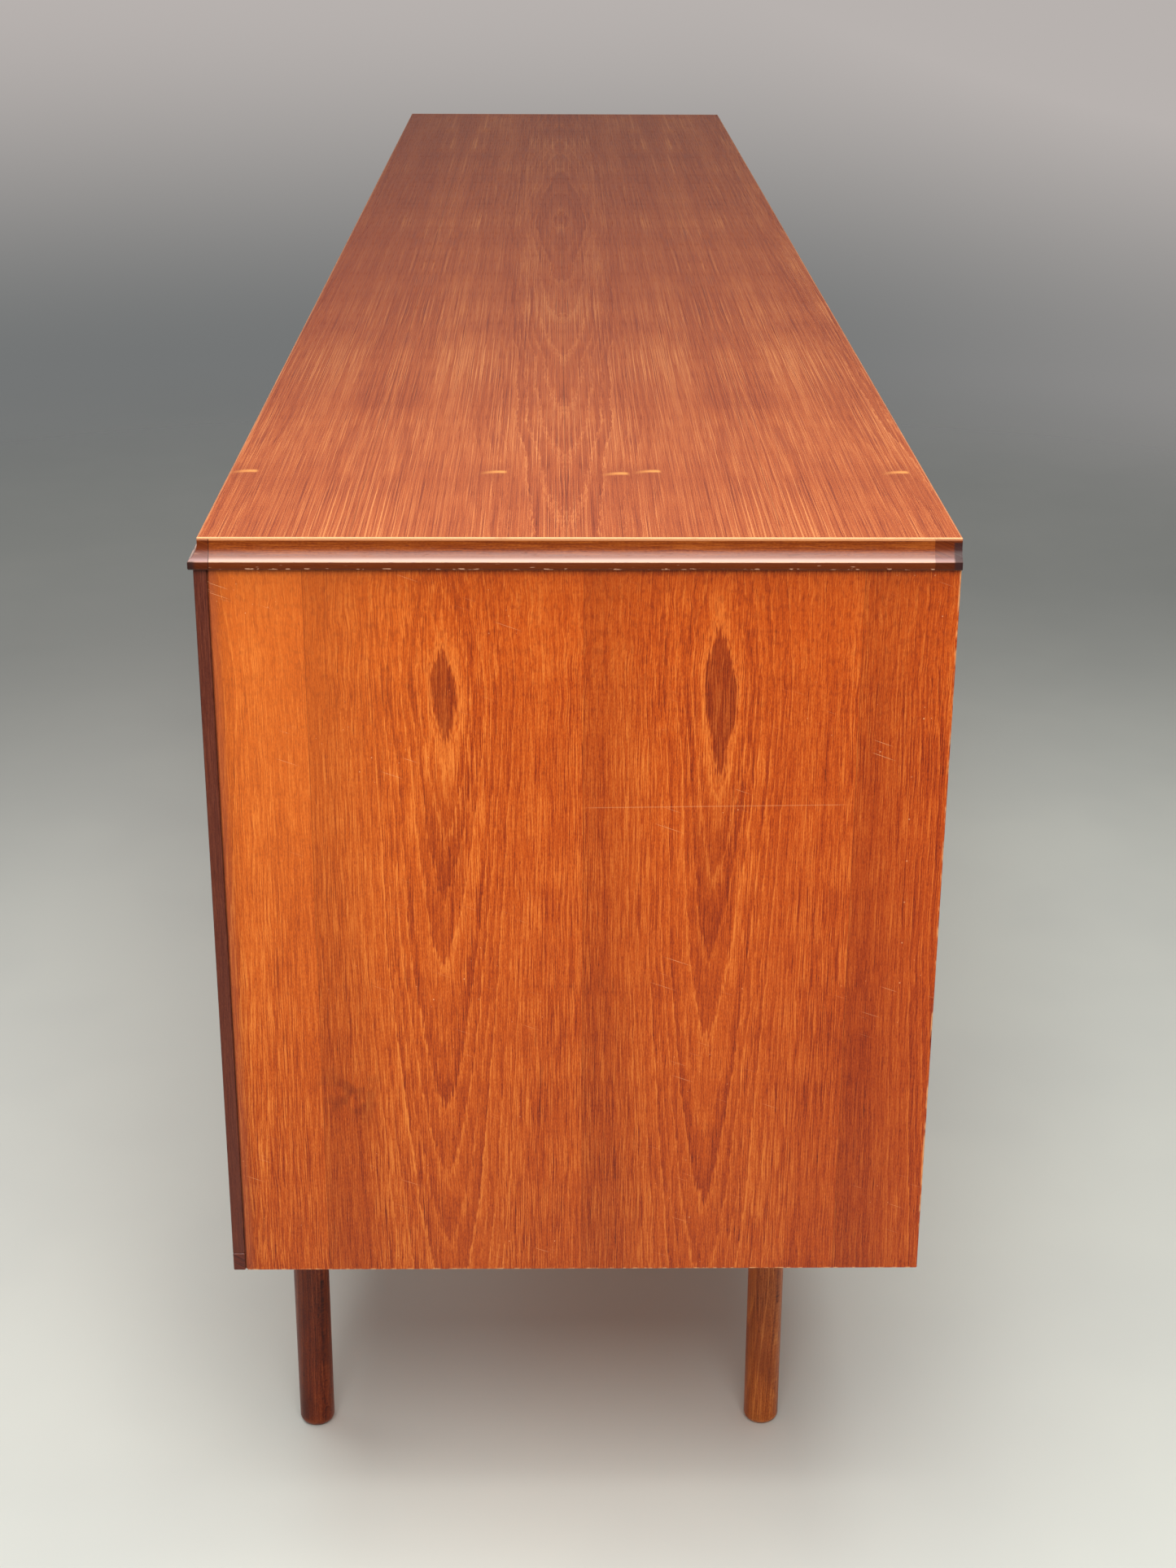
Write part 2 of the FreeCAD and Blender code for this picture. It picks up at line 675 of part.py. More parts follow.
def grip_section(low):
    """The solid top edge of a drawer front: a lip in front of a hollow for the fingertips."""
    lip, hollow_end = "(door_front + grip_lip)", "(door_front + grip_lip + grip_hollow)"
    floor = f"{low} + grip_floor + grip_hollow/2"
    middle = "(door_front + grip_lip + grip_hollow/2)"
    return [
        ("front_rear", low),
        ("door_front", low),
        ("door_front", f"{low} + grip_lip_top - grip_lip_round"),
        ("door_front + grip_lip_round", f"{low} + grip_lip_top", "grip_lip_round", -1),
        (lip, f"{low} + grip_lip_top"),
        (lip, floor),
        (middle, f"{low} + grip_floor", "grip_hollow/2", 1),
        (hollow_end, floor, "grip_hollow/2", 1),
        (hollow_end, f"{low} + grip_height"),
        ("front_rear", f"{low} + grip_height"),
    ]


def make_drawer(number):
    name = f"drawer_{number + 1}"
    low, high = drawer_span(number)
    board_top = f"({high} - grip_height)"
    width = ("-front_half", "front_half")
    inner = "(box_half - side_thickness)"
    seated = f"({inner} + ply_seat)"
    foot = f"{low} + box_foot"

    ply = node(f"{name}_bottom", board(
        f"{name}_ply", (f"-{seated}", seated), ("front_rear - ply_seat", "box_end - ply_short"),
        (f"{foot} + ply_up", f"{foot} + ply_up + ply"), arris=None))
    back = node(f"{name}_back", board(
        f"{name}_back_board", (f"-{seated}", seated),
        ("box_end - back_from_end - drawer_back", "box_end - back_from_end"),
        (f"{foot} + ply_up + ply", f"{high} - box_drop"), arris=None))

    profile = drawer_side_outline(low, high, board_top)
    side = moulded(f"{name}_side", "YZ_Plane", profile, "-box_half", f"-{inner}")
    middle = f"({foot} + ({high} - box_drop))/2"
    groove = room(
        f"{name}_runner_groove",
        ("-box_half - past", "-(drawer_bay/2 - box_gap - runner_in - runner_clear)"),
        ("front_rear + runner_start - past", "box_end + past"),
        (f"{middle} - runner_height/2 - runner_clear", f"{middle} + runner_height/2 + runner_clear"),
    )
    left = less(f"{name}_side_left", side, groove, ply, back)
    node(f"{name}_sides", together(f"{name}_side_pair", [left, mirrored(f"{name}_side_right", left)]))

    front = board(f"{name}_front_board", width, ("door_front", "front_rear"), (low, board_top))
    other_side = mirrored(f"{name}_side_tails", side)
    node(f"{name}_front", less(f"{name}_front_cut", front, side, other_side, ply))
    node(f"{name}_grip", moulded(f"{name}_grip_strip", "YZ_Plane", grip_section(board_top), *width))

    runner = board(
        f"{name}_runner", ("-drawer_bay/2", "-(drawer_bay/2 - box_gap - runner_in)"),
        ("front_rear + runner_start", "ply_face - runner_short"),
        (f"{middle} - runner_height/2", f"{middle} + runner_height/2"),
    )
    return [runner, mirrored(f"{name}_runner_right", runner)]


# ---------------------------------------------------------------- legs

LEGS = [
    ("front_left", "-leg_x", "leg_front_y"),
    ("front_right", "leg_x", "leg_front_y"),
    ("rear_left", "-leg_x", "leg_back_y"),
    ("rear_right", "leg_x", "leg_back_y"),
]


def at_leg(name, radius, z, leg):
    """A cylinder on the axis of one of the legs."""
    rod = doc.addObject("Part::Cylinder", name)
    _, x, y = LEGS[leg]
    bind(rod, Radius=radius, Height=f"{z[1]} - ({z[0]})", Base_x=x, Base_y=y, Base_z=z[0])
    return rod


def make_legs(screw):
    """Turned legs, each on a stud that screws into a plate under the bottom."""
    for name, x, y in LEGS:
        leg = turned(f"leg_{name}_turned", [
            ("0", "0"),
            ("foot_radius - foot_round", "0"),
            ("foot_radius", "foot_round", "foot_round", 1),
            ("leg_radius", "leg_top"),
            ("stud_radius", "leg_top"),
            ("stud_radius", "leg_top - stud_in_leg"),
            ("0", "leg_top - stud_in_leg"),
        ])
        bind(leg, Base_x=x, Base_y=y)
        node(f"leg_{name}", leg)
    reach = ("leg_top - stud_in_leg", "leg_height + boss_height")
    studs = [at_leg(f"stud_{i}", "stud_radius", reach, i) for i in range(len(LEGS))]
    node("leg_studs", together("studs", studs))

    off_x, off_y = (value(f"{side}/2 - plate_screw_inset") for side in ("plate_long", "plate_wide"))
    corners = [(dx, dy) for dx in (-off_x, off_x) for dy in (-off_y, off_y)]
    places = [
        ((value(x) + dx, value(y) + dy, value("leg_top")), (0, 0, -1))
        for _, x, y in LEGS for dx, dy in corners
    ]
    screws = node("leg_plate_screws", scattered("plate_screws", screw, places))
    plates = []
    for i, (name, x, y) in enumerate(LEGS):
        plate = board(
            f"plate_{name}", (f"{x} - plate_long/2", f"{x} + plate_long/2"),
            (f"{y} - plate_wide/2", f"{y} + plate_wide/2"), ("leg_top", "leg_height"))
        boss = at_leg(f"boss_{i}", "boss_radius", ("leg_height", "leg_height + boss_height"), i)
        solid = together(f"plate_and_boss_{i}", [plate, boss], "Part::MultiFuse")
        plates.append(less(f"plate_{i}", solid, nodes["leg_studs"], screws))
    node("leg_plates", together("plates", plates))


# ---------------------------------------------------------------- the whole sideboard


def check(thing, name):
    if "Invalid" in thing.State or "Error" in thing.State:
        raise RuntimeError(f"{name} failed: {thing.State}")


def export():
    """Checks every object, then writes each named piece."""
    doc.recompute()
    for thing in doc.Objects:
        check(thing, thing.Name)
    for name, piece in nodes.items():
        shape = piece.Shape
        if shape.isNull() or not shape.isValid() or not shape.Solids:
            raise RuntimeError(f"{name} has no valid solid")
    os.makedirs("parts", exist_ok=True)
    for old in os.listdir("parts"):
        if old.endswith(".step") and old[:-5] not in nodes:
            os.remove(os.path.join("parts", old))
    for name, piece in nodes.items():
        piece.Shape.exportStep(f"parts/{name}.step")
    print(len(nodes), "pieces written")


screw = screw_pattern()
make_dowels(dowel_pattern())
make_top()
pins = make_pins()
make_ends(pins)
make_bottom()
make_partitions(pins)
make_back(screw)
make_shelves()
make_doors()
runners = []
for number in range(len(DRAWERS)):
    runners += make_drawer(number)
node("drawer_runners", together("runner_group", runners))
make_legs(screw)
export()
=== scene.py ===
import math

import bmesh
import bpy
from mathutils import Matrix, Vector, noise as vector_noise


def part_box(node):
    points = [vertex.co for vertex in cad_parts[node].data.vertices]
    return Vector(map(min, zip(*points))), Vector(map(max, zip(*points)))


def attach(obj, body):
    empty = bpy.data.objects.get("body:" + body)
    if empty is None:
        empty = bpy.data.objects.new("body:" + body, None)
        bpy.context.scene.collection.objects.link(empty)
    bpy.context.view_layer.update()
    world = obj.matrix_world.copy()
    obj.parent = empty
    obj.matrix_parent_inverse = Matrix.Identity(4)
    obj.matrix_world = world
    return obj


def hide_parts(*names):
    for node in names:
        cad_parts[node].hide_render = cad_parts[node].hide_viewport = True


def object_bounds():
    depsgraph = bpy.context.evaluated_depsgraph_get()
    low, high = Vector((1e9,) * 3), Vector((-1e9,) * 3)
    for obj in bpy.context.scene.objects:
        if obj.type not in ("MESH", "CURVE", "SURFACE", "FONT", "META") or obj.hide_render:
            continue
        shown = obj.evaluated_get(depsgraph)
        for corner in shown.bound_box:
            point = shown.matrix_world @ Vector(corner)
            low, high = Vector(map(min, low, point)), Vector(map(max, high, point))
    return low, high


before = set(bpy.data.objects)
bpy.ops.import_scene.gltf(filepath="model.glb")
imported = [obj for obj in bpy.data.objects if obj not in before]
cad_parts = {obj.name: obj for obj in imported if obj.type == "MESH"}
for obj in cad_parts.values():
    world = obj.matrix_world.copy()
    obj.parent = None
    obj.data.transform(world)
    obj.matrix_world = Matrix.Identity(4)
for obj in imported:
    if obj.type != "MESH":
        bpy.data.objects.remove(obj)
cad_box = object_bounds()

MM = 0.001

# ---------------------------------------------------------------- sizes taken from the frame

LOW, HIGH = cad_box
SHEET_LOW, SHEET_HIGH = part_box("top_veneer")
CORE_LOW, CORE_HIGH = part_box("top_core")
END_LOW, END_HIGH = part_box("end_panel_right")

LIP_OUT = HIGH.x - SHEET_HIGH.x
TOP_UNDER = CORE_LOW.z
TOP_SURFACE = HIGH.z

# ---------------------------------------------------------------- sizes of the finer meshes

COVE_START = 3.2 * MM  # the coved edge's upright flat, from the top surface down
LIP_HEIGHT = 5.2 * MM
LIP_ROUND = 1.2 * MM
ARRIS_ROUND = 0.5 * MM
COVE_STEPS = 18
LIP_STEPS = 5
LIPPING_STEP = 4 * MM  # spacing of the points along a lipping, so that knocks are real dents
KNOCK_DEPTH = 0.9 * MM

FOOT_ROUND = 6 * MM
FOOT_TAPER = 0.4 * MM
FOOT_STEPS = 8
LEG_STEPS = 24
LEG_SIDES = 56

# ---------------------------------------------------------------- numbers that vary over a surface


def srgb(red, green, blue):
    """A colour given as screen values, as the linear colour that a shader takes."""
    def linear(c):
        c /= 255
        return c / 12.92 if c <= 0.04045 else ((c + 0.055) / 1.055) ** 2.4

    return (linear(red), linear(green), linear(blue), 1.0)


def feed(tree, source, socket):
    """Sets a socket to a number or a colour, or links it to a field or a socket."""
    if isinstance(source, Field):
        tree.links.new(source.socket, socket)
    elif isinstance(source, bpy.types.NodeSocket):
        tree.links.new(source, socket)
    else:
        socket.default_value = source


class Field:
    """A number that varies over a surface. Arithmetic on it adds Math nodes to its material."""

    def __init__(self, tree, socket):
        self.tree = tree
        self.socket = socket

    def math(self, operation, *others, first=None):
        node = self.tree.nodes.new("ShaderNodeMath")
        node.operation = operation
        inputs = [self, *others] if first is None else [first, self]
        for item, socket in zip(inputs, node.inputs):
            feed(self.tree, item, socket)
        return Field(self.tree, node.outputs[0])

    def __add__(self, other):
        return self.math("ADD", other)

    def __sub__(self, other):
        return self.math("SUBTRACT", other)

    def __rsub__(self, other):
        return self.math("SUBTRACT", first=other)

    def __mul__(self, other):
        return self.math("MULTIPLY", other)

    def __truediv__(self, other):
        return self.math("DIVIDE", other)

    def __abs__(self):
        return self.math("ABSOLUTE")

    def root(self):
        return self.math("SQRT")

    def fraction(self):
        return self.math("FRACT")

    def whole(self):
        return self.math("FLOOR")

    def least(self, other):
        return self.math("MINIMUM", other)

    def most(self, other):
        return self.math("MAXIMUM", other)

    def swing(self, span):
        """Goes up from 0 to span and back down, again and again."""
        return self.math("PINGPONG", span)

    def rise(self, start, end, low=0.0, high=1.0):
        """Goes smoothly from low to high as the field goes from start to end."""
        node = self.tree.nodes.new("ShaderNodeMapRange")
        node.interpolation_type = "SMOOTHSTEP"
        feed(self.tree, self, node.inputs["Value"])
        feed(self.tree, start, node.inputs["From Min"])
        feed(self.tree, end, node.inputs["From Max"])
        feed(self.tree, low, node.inputs["To Min"])
        feed(self.tree, high, node.inputs["To Max"])
        return Field(self.tree, node.outputs[0])

    def near(self, place, reach):
        """1 at a place, falling to 0 at a reach from it."""
        return abs(self - place).rise(reach, 0)


def places(tree):
    """The position on the surface along X, Y and Z, in millimetres of the row frame."""
    position = tree.nodes.new("ShaderNodeTexCoord").outputs["Object"]
    split = tree.nodes.new("ShaderNodeSeparateXYZ")
    tree.links.new(position, split.inputs[0])
    return {axis: Field(tree, split.outputs[axis]) / MM for axis in "XYZ"}


def grain_noise(u, v, w=0.0, size=(1, 1, 1), detail=1.0, seed=0.0):
    """Noise from about 0.25 to 0.75 whose lumps are size millimetres across u, v and w."""
    tree = u.tree
    join = tree.nodes.new("ShaderNodeCombineXYZ")
    feed(tree, u / size[0] + seed * 7.3, join.inputs[0])
    feed(tree, v / size[1] + seed * 3.1, join.inputs[1])
    if isinstance(w, Field):
        feed(tree, w / size[2], join.inputs[2])
    else:
        join.inputs[2].default_value = w + seed
    node = tree.nodes.new("ShaderNodeTexNoise")
    node.inputs["Scale"].default_value = 1.0
    node.inputs["Detail"].default_value = detail
    tree.links.new(join.outputs[0], node.inputs["Vector"])
    return Field(tree, node.outputs[0])


def chance(field, seed=0.0):
    """A random number from 0 to 1 for each whole value of the field."""
    node = field.tree.nodes.new("ShaderNodeTexWhiteNoise")
    node.noise_dimensions = "1D"
    feed(field.tree, field + seed, node.inputs["W"])
    return Field(field.tree, node.outputs["Value"])


def mixed(tree, first, second, amount, mode="MIX"):
    """Two colours mixed by an amount."""
    node = tree.nodes.new("ShaderNodeMix")
    node.data_type = "RGBA"
    node.blend_type = mode
    node.clamp_factor = True
    feed(tree, amount, node.inputs["Factor"])
    feed(tree, first, node.inputs["A"])
    feed(tree, second, node.inputs["B"])
    return node.outputs["Result"]


def tinted(tree, colour, tint, amount):
    """A colour multiplied by a tint, which keeps the grain that shows in it."""
    return mixed(tree, colour, (*tint, 1.0), amount, "MULTIPLY")


def new_material(name):
    """A material with its own Principled shader: its tree and that shader."""
    material = bpy.data.materials.new(name)
    material.use_nodes = True
    tree = material.node_tree
    return material, tree, tree.nodes["Principled BSDF"]


def bumped(tree, shader, height, depth):
    """Raises the surface by a height field, depth millimetres for each unit."""
    bump = tree.nodes.new("ShaderNodeBump")
    bump.inputs["Strength"].default_value = 1.0
    bump.inputs["Distance"].default_value = depth * MM
    feed(tree, height, bump.inputs["Height"])
    tree.links.new(bump.outputs["Normal"], shader.inputs["Normal"])


def box_edge(xyz, box):
    """Distance from the nearest edge of a box, for a point on the box's surface, in millimetres."""
    reach = []
    for axis, low, high in zip("XYZ", *box):
        middle = (low + high) / 2 / MM
        half = (high - low) / 2 / MM
        reach.append(half - abs(xyz[axis] - middle))
    # on the surface one of the three is 0, so the edge is as far as the smaller of the others
    furthest = reach[0].most(reach[1]).most(reach[2])
    return reach[0] + reach[1] + reach[2] - furthest


# ---------------------------------------------------------------- wood


def tones(ground, late, pale, pore):
    """The four colours of a wood, from screen values."""
    return {"ground": srgb(*ground), "late": srgb(*late), "pale": srgb(*pale), "pore": srgb(*pore)}


TEAK_END = tones((202, 87, 12), (158, 54, 4), (236, 132, 52), (98, 28, 4))
TEAK_TOP = tones((184, 90, 42), (136, 52, 22), (230, 146, 86), (70, 20, 8))
TEAK_DARK = tones((84, 28, 14), (54, 14, 8), (122, 56, 32), (26, 6, 4))
TEAK_STRIP = tones((92, 38, 22), (78, 28, 16), (112, 54, 34), (44, 14, 10))
TEAK_COVE = tones((124, 52, 6), (94, 32, 4), (160, 82, 24), (48, 14, 2))
TEAK_LEG = tones((114, 42, 10), (68, 18, 6), (150, 72, 34), (34, 8, 4))
TEAK_PALE_LEG = tones((174, 86, 30), (126, 52, 14), (206, 124, 58), (66, 24, 8))
TEAK_INSIDE = tones((182, 94, 44), (140, 62, 26), (214, 138, 82), (84, 32, 14))
BEECH = tones((222, 186, 138), (200, 158, 110), (236, 208, 164), (168, 122, 80))
PLY = tones((188, 142, 94), (158, 112, 70), (208, 168, 120), (120, 82, 50))
BLOCKBOARD = tones((196, 160, 112), (170, 132, 88), (214, 184, 140), (130, 98, 62))

# How the log lies in a piece: ring is the width of a growth ring, heart the distance of the
# log's middle across the grain and behind the surface, taper how fast that distance grows
# along the grain either side of eye, closing how much sooner it grows before the eye than
# after it, sway how far the heart wanders and feather how far its rings' points run. All the
# lengths are in millimetres.
STRAIGHT = {
    "ring": 3.4, "heart": (-160, 60), "taper": 0.012, "eye": 0, "closing": 1.0, "sway": 6, "feather": 30,
}
SOLID = {**STRAIGHT, "ring": 3.0, "heart": (-46, 30), "taper": 0.02, "sway": 4}
TURNED = {**STRAIGHT, "ring": 3.2, "heart": (-4, -34), "taper": 0.045, "eye": 140, "sway": 5, "feather": 24}
DOOR_LOG = {**STRAIGHT, "ring": 5, "heart": (90, 60), "taper": 0.04}
DRAWER_LOG = {**STRAIGHT, "ring": 4.4, "heart": (480, 50)}


def log_rings(u, v, w, log, seed):
    """Distance from the heart of the log, so that growth rings are its even steps, and how
    plainly they show: most where the cut runs beside the heart."""
    across, behind = log["heart"]
    sway = (grain_noise(u, v, size=(150, 240, 1), seed=seed + 1) - 0.5) * log["sway"] * 4
    wave = (grain_noise(u, v, size=(9, 44, 1), detail=2, seed=seed + 2) - 0.5) * 3.4
    feather = (grain_noise(u, v, size=(1.1, 13, 1), detail=1, seed=seed + 3) - 0.5) * log["feather"]
    along = v - log["eye"] + feather
    along = along.most(along * -log["closing"])
    depth = (along * along + 200).root() * log["taper"] + behind + w
    side = abs(u - across + sway + wave)
    # the added share of side brings each ring to a point where it crosses above the heart
    rings = (side * side + side * 8 + depth * depth).root()
    plain = side.rise(75, 22, 0.3, 1.0)
    return rings, plain


def wood_fields(u, v, rings, log, seed, length=1.0, sparse=0.0):
    """What the eye sees in the wood: late wood, pale lines, streaks, pores, and slow changes
    of tone. Its streaks are length times as long as in the end panels, and fewer if sparse."""
    distance, plain = rings
    uneven = (grain_noise(distance, v, size=(11, 4000, 1), detail=1, seed=seed + 4) - 0.5) * 1.4
    steps = distance / log["ring"] + uneven
    age = steps.whole()
    phase = steps.fraction()
    strength = chance(age, seed) * 0.8 + 0.2
    late = phase.rise(0.2, 0.97) * phase.rise(1.0, 0.95) * strength * plain
    line = phase.rise(0.0, 0.05) * phase.rise(0.22, 0.1) * (chance(age, seed + 40) * 0.7 + 0.3) * plain
    waved = u + (grain_noise(u, v, size=(10, 30 * length, 1), detail=1, seed=seed + 13) - 0.5) * 1.8
    lively = grain_noise(u, v, size=(34, 420, 1), detail=1, seed=seed + 14).rise(0.4, 0.6, 0.6, 1.1)
    pale = grain_noise(waved, v, size=(0.6, 34 * length, 1), detail=0.5, seed=seed + 11)
    dark = grain_noise(waved, v, size=(0.7, 46 * length, 1), detail=0.5, seed=seed + 12)
    pores = grain_noise(waved, v, size=(0.35, 5 * length, 1), detail=0, seed=seed + 9)
    dashes = grain_noise(waved, v, size=(0.7, 18 * length, 1), detail=0, seed=seed + 10)
    return {
        "late": late,
        "line": line,
        "own": (chance(age, seed + 60) - 0.5) * plain,
        "fine": grain_noise(waved, v, size=(0.45, 10 * length, 1), detail=2, seed=seed + 5),
        "pale": pale.rise(0.51 + sparse, 0.6 + sparse) * lively,
        "dark": dark.rise(0.52 + sparse, 0.62 + sparse) * lively,
        "coarse": grain_noise(waved, v, size=(2.4, 90 * length, 1), detail=2, seed=seed + 6),
        "band": grain_noise(distance, v, size=(15, 900, 1), detail=2, seed=seed + 7),
        "cloud": grain_noise(u, v, size=(60, 130, 1), detail=2, seed=seed + 8),
        "pores": pores.rise(0.66, 0.76),
        "dashes": dashes.rise(0.79, 0.84),
        "speckle": grain_noise(u, v, size=(0.6, 1.9, 1), detail=1, seed=seed + 15),
    }


def wood_colour(tree, seen, palette, figure=1.0, contrast=1.0):
    """The wood's colour from what is seen in it, as one tone from pore-dark to pale."""
    streaks = (seen["fine"] - 0.5) * 0.6 + (seen["coarse"] - 0.5) * 0.3
    streaks = streaks + seen["pale"] * 0.22 - seen["dark"] * 0.15
    rings = seen["own"] * 0.14 - seen["late"] * 0.16 + seen["line"] * 0.24
    tone = streaks * contrast + rings * figure + (seen["band"] - 0.5) * 0.3 + (seen["cloud"] - 0.5) * 0.2
    tone = tone + (seen["speckle"] - 0.5) * 0.4 - seen["pores"] * 0.14 - seen["dashes"] * 0.25 + 0.5
    ramp = tree.nodes.new("ShaderNodeValToRGB")
    stops = ((0.0, "pore"), (0.27, "late"), (0.52, "ground"), (0.85, "pale"))
    for place, _ in stops[2:]:
        ramp.color_ramp.elements.new(place)
    for element, (place, name) in zip(ramp.color_ramp.elements, stops):
        element.position = place
        element.color = palette[name]
    feed(tree, tone, ramp.inputs["Fac"])
    return ramp.outputs["Color"]


def scuffs(u, v, seed, amount=1.0):
    """Small specks and thin scratches in the finish, here and there."""
    place = grain_noise(u, v, size=(70, 60, 1), detail=0, seed=seed + 22).rise(0.52, 0.68)
    specks = grain_noise(u, v, size=(1.5, 1.8, 1), detail=0, seed=seed + 20).rise(0.84, 0.88)
    turned_u = u * 0.94 + v * 0.34
    turned_v = v * 0.94 - u * 0.34
    hair = grain_noise(turned_u, turned_v, size=(34, 0.5, 1), detail=0, seed=seed + 21).rise(0.80, 0.86)
    return (specks + hair) * place * amount


def finish_wood(tree, shader, colour, seen, marks, rough=0.42, depth=0.05, specular=0.5):
    """The oiled, rubbed surface: sheen that follows the grain, and open pores."""
    feed(tree, colour, shader.inputs["Base Color"])
    gloss = seen["fine"].rise(0.3, 0.7, rough - 0.05, rough + 0.06) + seen["pores"] * 0.12
    feed(tree, gloss, shader.inputs["Roughness"])
    shader.inputs["Specular IOR Level"].default_value = specular
    height = seen["fine"] * 0.6 - seen["pores"] * 0.8 - seen["dashes"] - marks * 0.7
    bumped(tree, shader, height, depth)


def board_wood(name, palette, grain, across, log, box, seed, figure=1.0, worn=0.5):
    """A board whose grain runs along one axis, with rubbed edges where its box ends."""
    material, tree, shader = new_material(name)
    xyz = places(tree)
    third = next(axis for axis in "XYZ" if axis not in (grain, across))
    u, v, w = xyz[across], xyz[grain], xyz[third]
    rings = log_rings(u, v, w * 0.35, log, seed)
    seen = wood_fields(u + w * 0.61, v, rings, log, seed)
    colour = wood_colour(tree, seen, palette, figure)
    marks = scuffs(u, v, seed)
    colour = mixed(tree, colour, palette["pale"], marks * 0.5)
    patchy = grain_noise(u, v, w, size=(9, 9, 9), detail=2, seed=seed + 30)
    rubbed = box_edge(xyz, box).rise(1.1, 0.3) * patchy.rise(0.4, 0.62)
    colour = mixed(tree, colour, palette["pale"], rubbed * worn)
    finish_wood(tree, shader, colour, seen, marks, specular=0.35)
    return material


# ---------------------------------------------------------------- the end panels' veneer

END_LEAF = 166.5  # width of a leaf
END_SEAM = 61  # the first seam, from the sheet's front edge
END_HEART = 80.5  # the log's heart, from a leaf's seam
END_EYE = 92  # height of the eyes, below the top surface
RUBBED = srgb(236, 168, 110)
SCRATCHED = srgb(246, 176, 122)


def end_shades(tree, colour, y, v, within):
    """Slow changes of tone over an end panel, y from the front and v from the top: some are the wood's own,
    some are painted light and shade.
    """
    # painted light: the upper front of the panel is painted paler, where more light falls on it
    painted_light_upper_front = y.rise(170, 20) * v.rise(420, 80) * 0.3
    colour = mixed(tree, colour, TEAK_END["pale"], painted_light_upper_front)
    # each leaf starts darker at its seam than the one before ends
    colour = tinted(tree, colour, (0.72, 0.66, 0.62), within.rise(56, 6) * 0.55)
    # the wood is redder towards the back and darker by the strip; painted shade darkens it low down, where
    # less light falls, and a painted shadow darkens it under the lip
    redder_leaves = (y.rise(339, 348) * 0.3 + y.rise(394, 400) * 0.25) * v.rise(40, 200, 0.2, 1.0)
    colour = tinted(tree, colour, (0.80, 0.62, 0.45), y.rise(90, 240) * 0.3 + redder_leaves)
    # painted shade low down, painted shadow under the lip, and a darker edge by the strip
    darker = v.rise(160, 640) * 0.55 + v.rise(60, 16) * 0.3 + y.rise(20, 8) * 0.4
    colour = tinted(tree, colour, (0.55, 0.50, 0.50), darker.least(0.9))
    # painted shade: a dark line in the gap beside the front strip, then a duller, pinker band along the edge
    from_strip = y - (END_LOW.y - SHEET_LOW.y) / MM
    colour = mixed(tree, colour, srgb(150, 74, 46), from_strip.rise(8, 2) * 0.45)
    return mixed(tree, colour, srgb(40, 14, 8), from_strip.near(0, 1.0) * 0.85)


def end_wear(tree, colour, xyz, y, v, seed):
    """Rubbed edges, a stain, a long scratch and a row of dots: the colour and the marks."""
    edge = (END_HIGH.y / MM - xyz["Y"]).least(xyz["Z"] - END_LOW.z / MM)
    patchy = grain_noise(y, v, size=(6, 14, 1), detail=2, seed=seed + 30)
    outside = abs(xyz["X"]).rise(END_HIGH.x / MM - 1.6, END_HIGH.x / MM - 0.8)
    rubbed = edge.rise(1.3, 0.6) * patchy.rise(0.46, 0.62) * outside
    colour = mixed(tree, colour, RUBBED, rubbed * 0.75)
    stain_place = ((y - 78) * (y - 78) + (v - 372) * (v - 372)).root()
    blotchy = grain_noise(y, v, size=(16, 16, 1), detail=2, seed=seed + 31).rise(0.44, 0.6)
    colour = mixed(tree, colour, TEAK_END["pore"], stain_place.near(0, 34) * blotchy * 0.45)
    scratch = (v + y * 0.012).near(173, 0.5) * y.rise(226, 236) * y.rise(394, 380)
    dots = (v - 150).swing(14).near(0, 0.7) * y.near(428, 0.8) * v.rise(140, 160) * v.rise(330, 300)
    marks = scuffs(y, v, seed) + scratch * 0.35 + dots
    return mixed(tree, colour, SCRATCHED, marks * 0.7), marks


